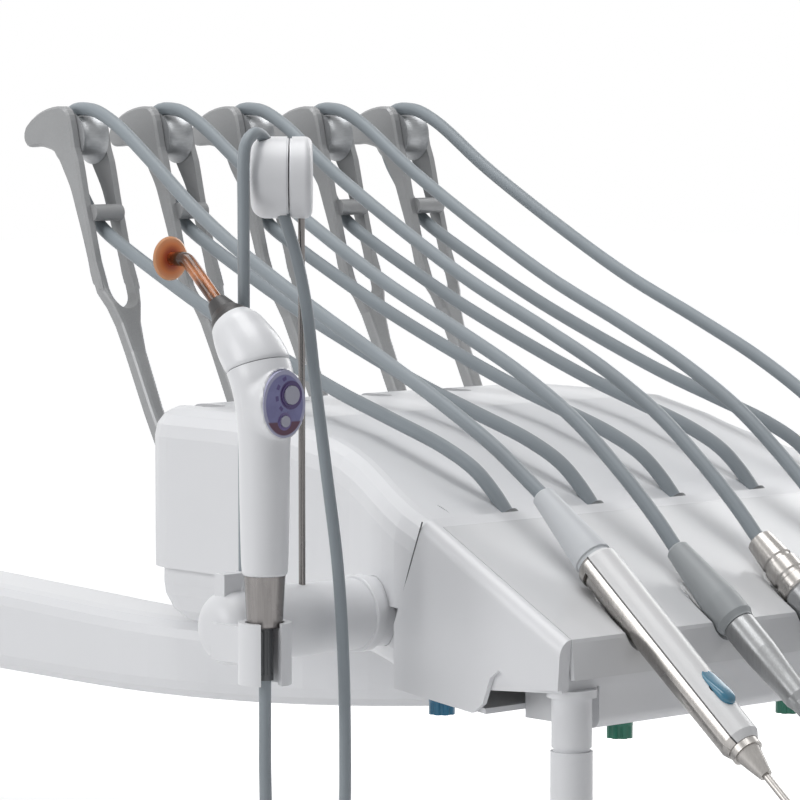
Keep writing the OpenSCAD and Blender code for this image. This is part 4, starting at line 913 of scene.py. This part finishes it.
class HeadStudio(bpy.types.PropertyGroup):
    """Strength of the studio's lights."""

    ambient: bpy.props.FloatProperty(
        name="Ambient", description="Strength of the even light from the room", default=0.21, min=0, max=2,
    )
    key: bpy.props.FloatProperty(
        name="Key box", description="Power of the soft box above", default=38.0, min=0, unit="POWER",
    )
    side: bpy.props.FloatProperty(
        name="Side box", description="Power of the soft box at the left", default=20.0, min=0, unit="POWER",
    )
    back: bpy.props.FloatProperty(
        name="Back box", description="Power of the soft box behind", default=16.0, min=0, unit="POWER",
    )


class HEAD_OT_stage(bpy.types.Operator):
    """Sets the floor, the lights and the camera"""

    bl_idname = "delivery_head.stage"
    bl_label = "Stage"

    def execute(self, context):
        make_stage(context.scene.head_studio)
        return {"FINISHED"}


class HEAD_OT_finishes(bpy.types.Operator):
    """Makes the finishes and gives each CAD node its own"""

    bl_idname = "delivery_head.finishes"
    bl_label = "Finishes"

    def execute(self, context):
        make_finishes(context.scene.head_colours)
        dress_nodes()
        return {"FINISHED"}


class HEAD_OT_hoses(bpy.types.Operator):
    """Lays the five instrument hoses over their rollers"""

    bl_idname = "delivery_head.hoses"
    bl_label = "Instrument hoses"

    def execute(self, context):
        for i in range(len(ARM_X)):
            make_hose(i, context.scene.head_sizes.hose_diameter / MM)
        return {"FINISHED"}


class HEAD_OT_light_cord(bpy.types.Operator):
    """Hangs the curing light's cord from its guide"""

    bl_idname = "delivery_head.light_cord"
    bl_label = "Light cord"

    def execute(self, context):
        make_light_cord(context.scene.head_sizes.cord_diameter / MM)
        return {"FINISHED"}


class HEAD_OT_trim(bpy.types.Operator):
    """Sets the trough's skirt, the dark strips of painted shade in the seams and the scoops' liners into the
    housing
    """

    bl_idname = "delivery_head.trim"
    bl_label = "Housing trim"

    def execute(self, context):
        make_skirt()
        make_seam_shade_strips()
        make_liners()
        return {"FINISHED"}


class HEAD_OT_syringe_key(bpy.types.Operator):
    """Shapes the syringe's key"""

    bl_idname = "delivery_head.syringe_key"
    bl_label = "Syringe key"

    def execute(self, context):
        make_syringe_key()
        return {"FINISHED"}


class HEAD_OT_light(bpy.types.Operator):
    """Moulds the curing light's handle, seal and head"""

    bl_idname = "delivery_head.light"
    bl_label = "Curing light"

    def execute(self, context):
        make_light()
        return {"FINISHED"}


OPERATORS = [
    HEAD_OT_stage, HEAD_OT_finishes, HEAD_OT_hoses, HEAD_OT_light_cord, HEAD_OT_trim, HEAD_OT_syringe_key,
    HEAD_OT_light,
]
GROUPS = {"head_sizes": HeadSizes, "head_colours": HeadColours, "head_studio": HeadStudio}


class HEAD_PT_panel(bpy.types.Panel):
    """Lists the sizes, colours and steps of the delivery head"""

    bl_label = "Delivery head"
    bl_idname = "HEAD_PT_panel"
    bl_space_type = "VIEW_3D"
    bl_region_type = "UI"
    bl_category = "Delivery head"

    def draw(self, context):
        column = self.layout.column()
        for name in GROUPS:
            group = getattr(context.scene, name)
            for key in group.bl_rna.properties.keys():
                if key not in ("rna_type", "name"):
                    column.prop(group, key)
        for operator in OPERATORS:
            column.operator(operator.bl_idname)


def register():
    for cls in (*GROUPS.values(), *OPERATORS, HEAD_PT_panel):
        bpy.utils.register_class(cls)
    for name, group in GROUPS.items():
        setattr(bpy.types.Scene, name, bpy.props.PointerProperty(type=group))


def unregister():
    for name in GROUPS:
        delattr(bpy.types.Scene, name)
    for cls in (HEAD_PT_panel, *reversed(OPERATORS), *reversed(GROUPS.values())):
        bpy.utils.unregister_class(cls)


def main():
    register()
    for operator in OPERATORS:
        group, name = operator.bl_idname.split(".")
        getattr(getattr(bpy.ops, group), name)()


if __name__ == "__main__":
    main()
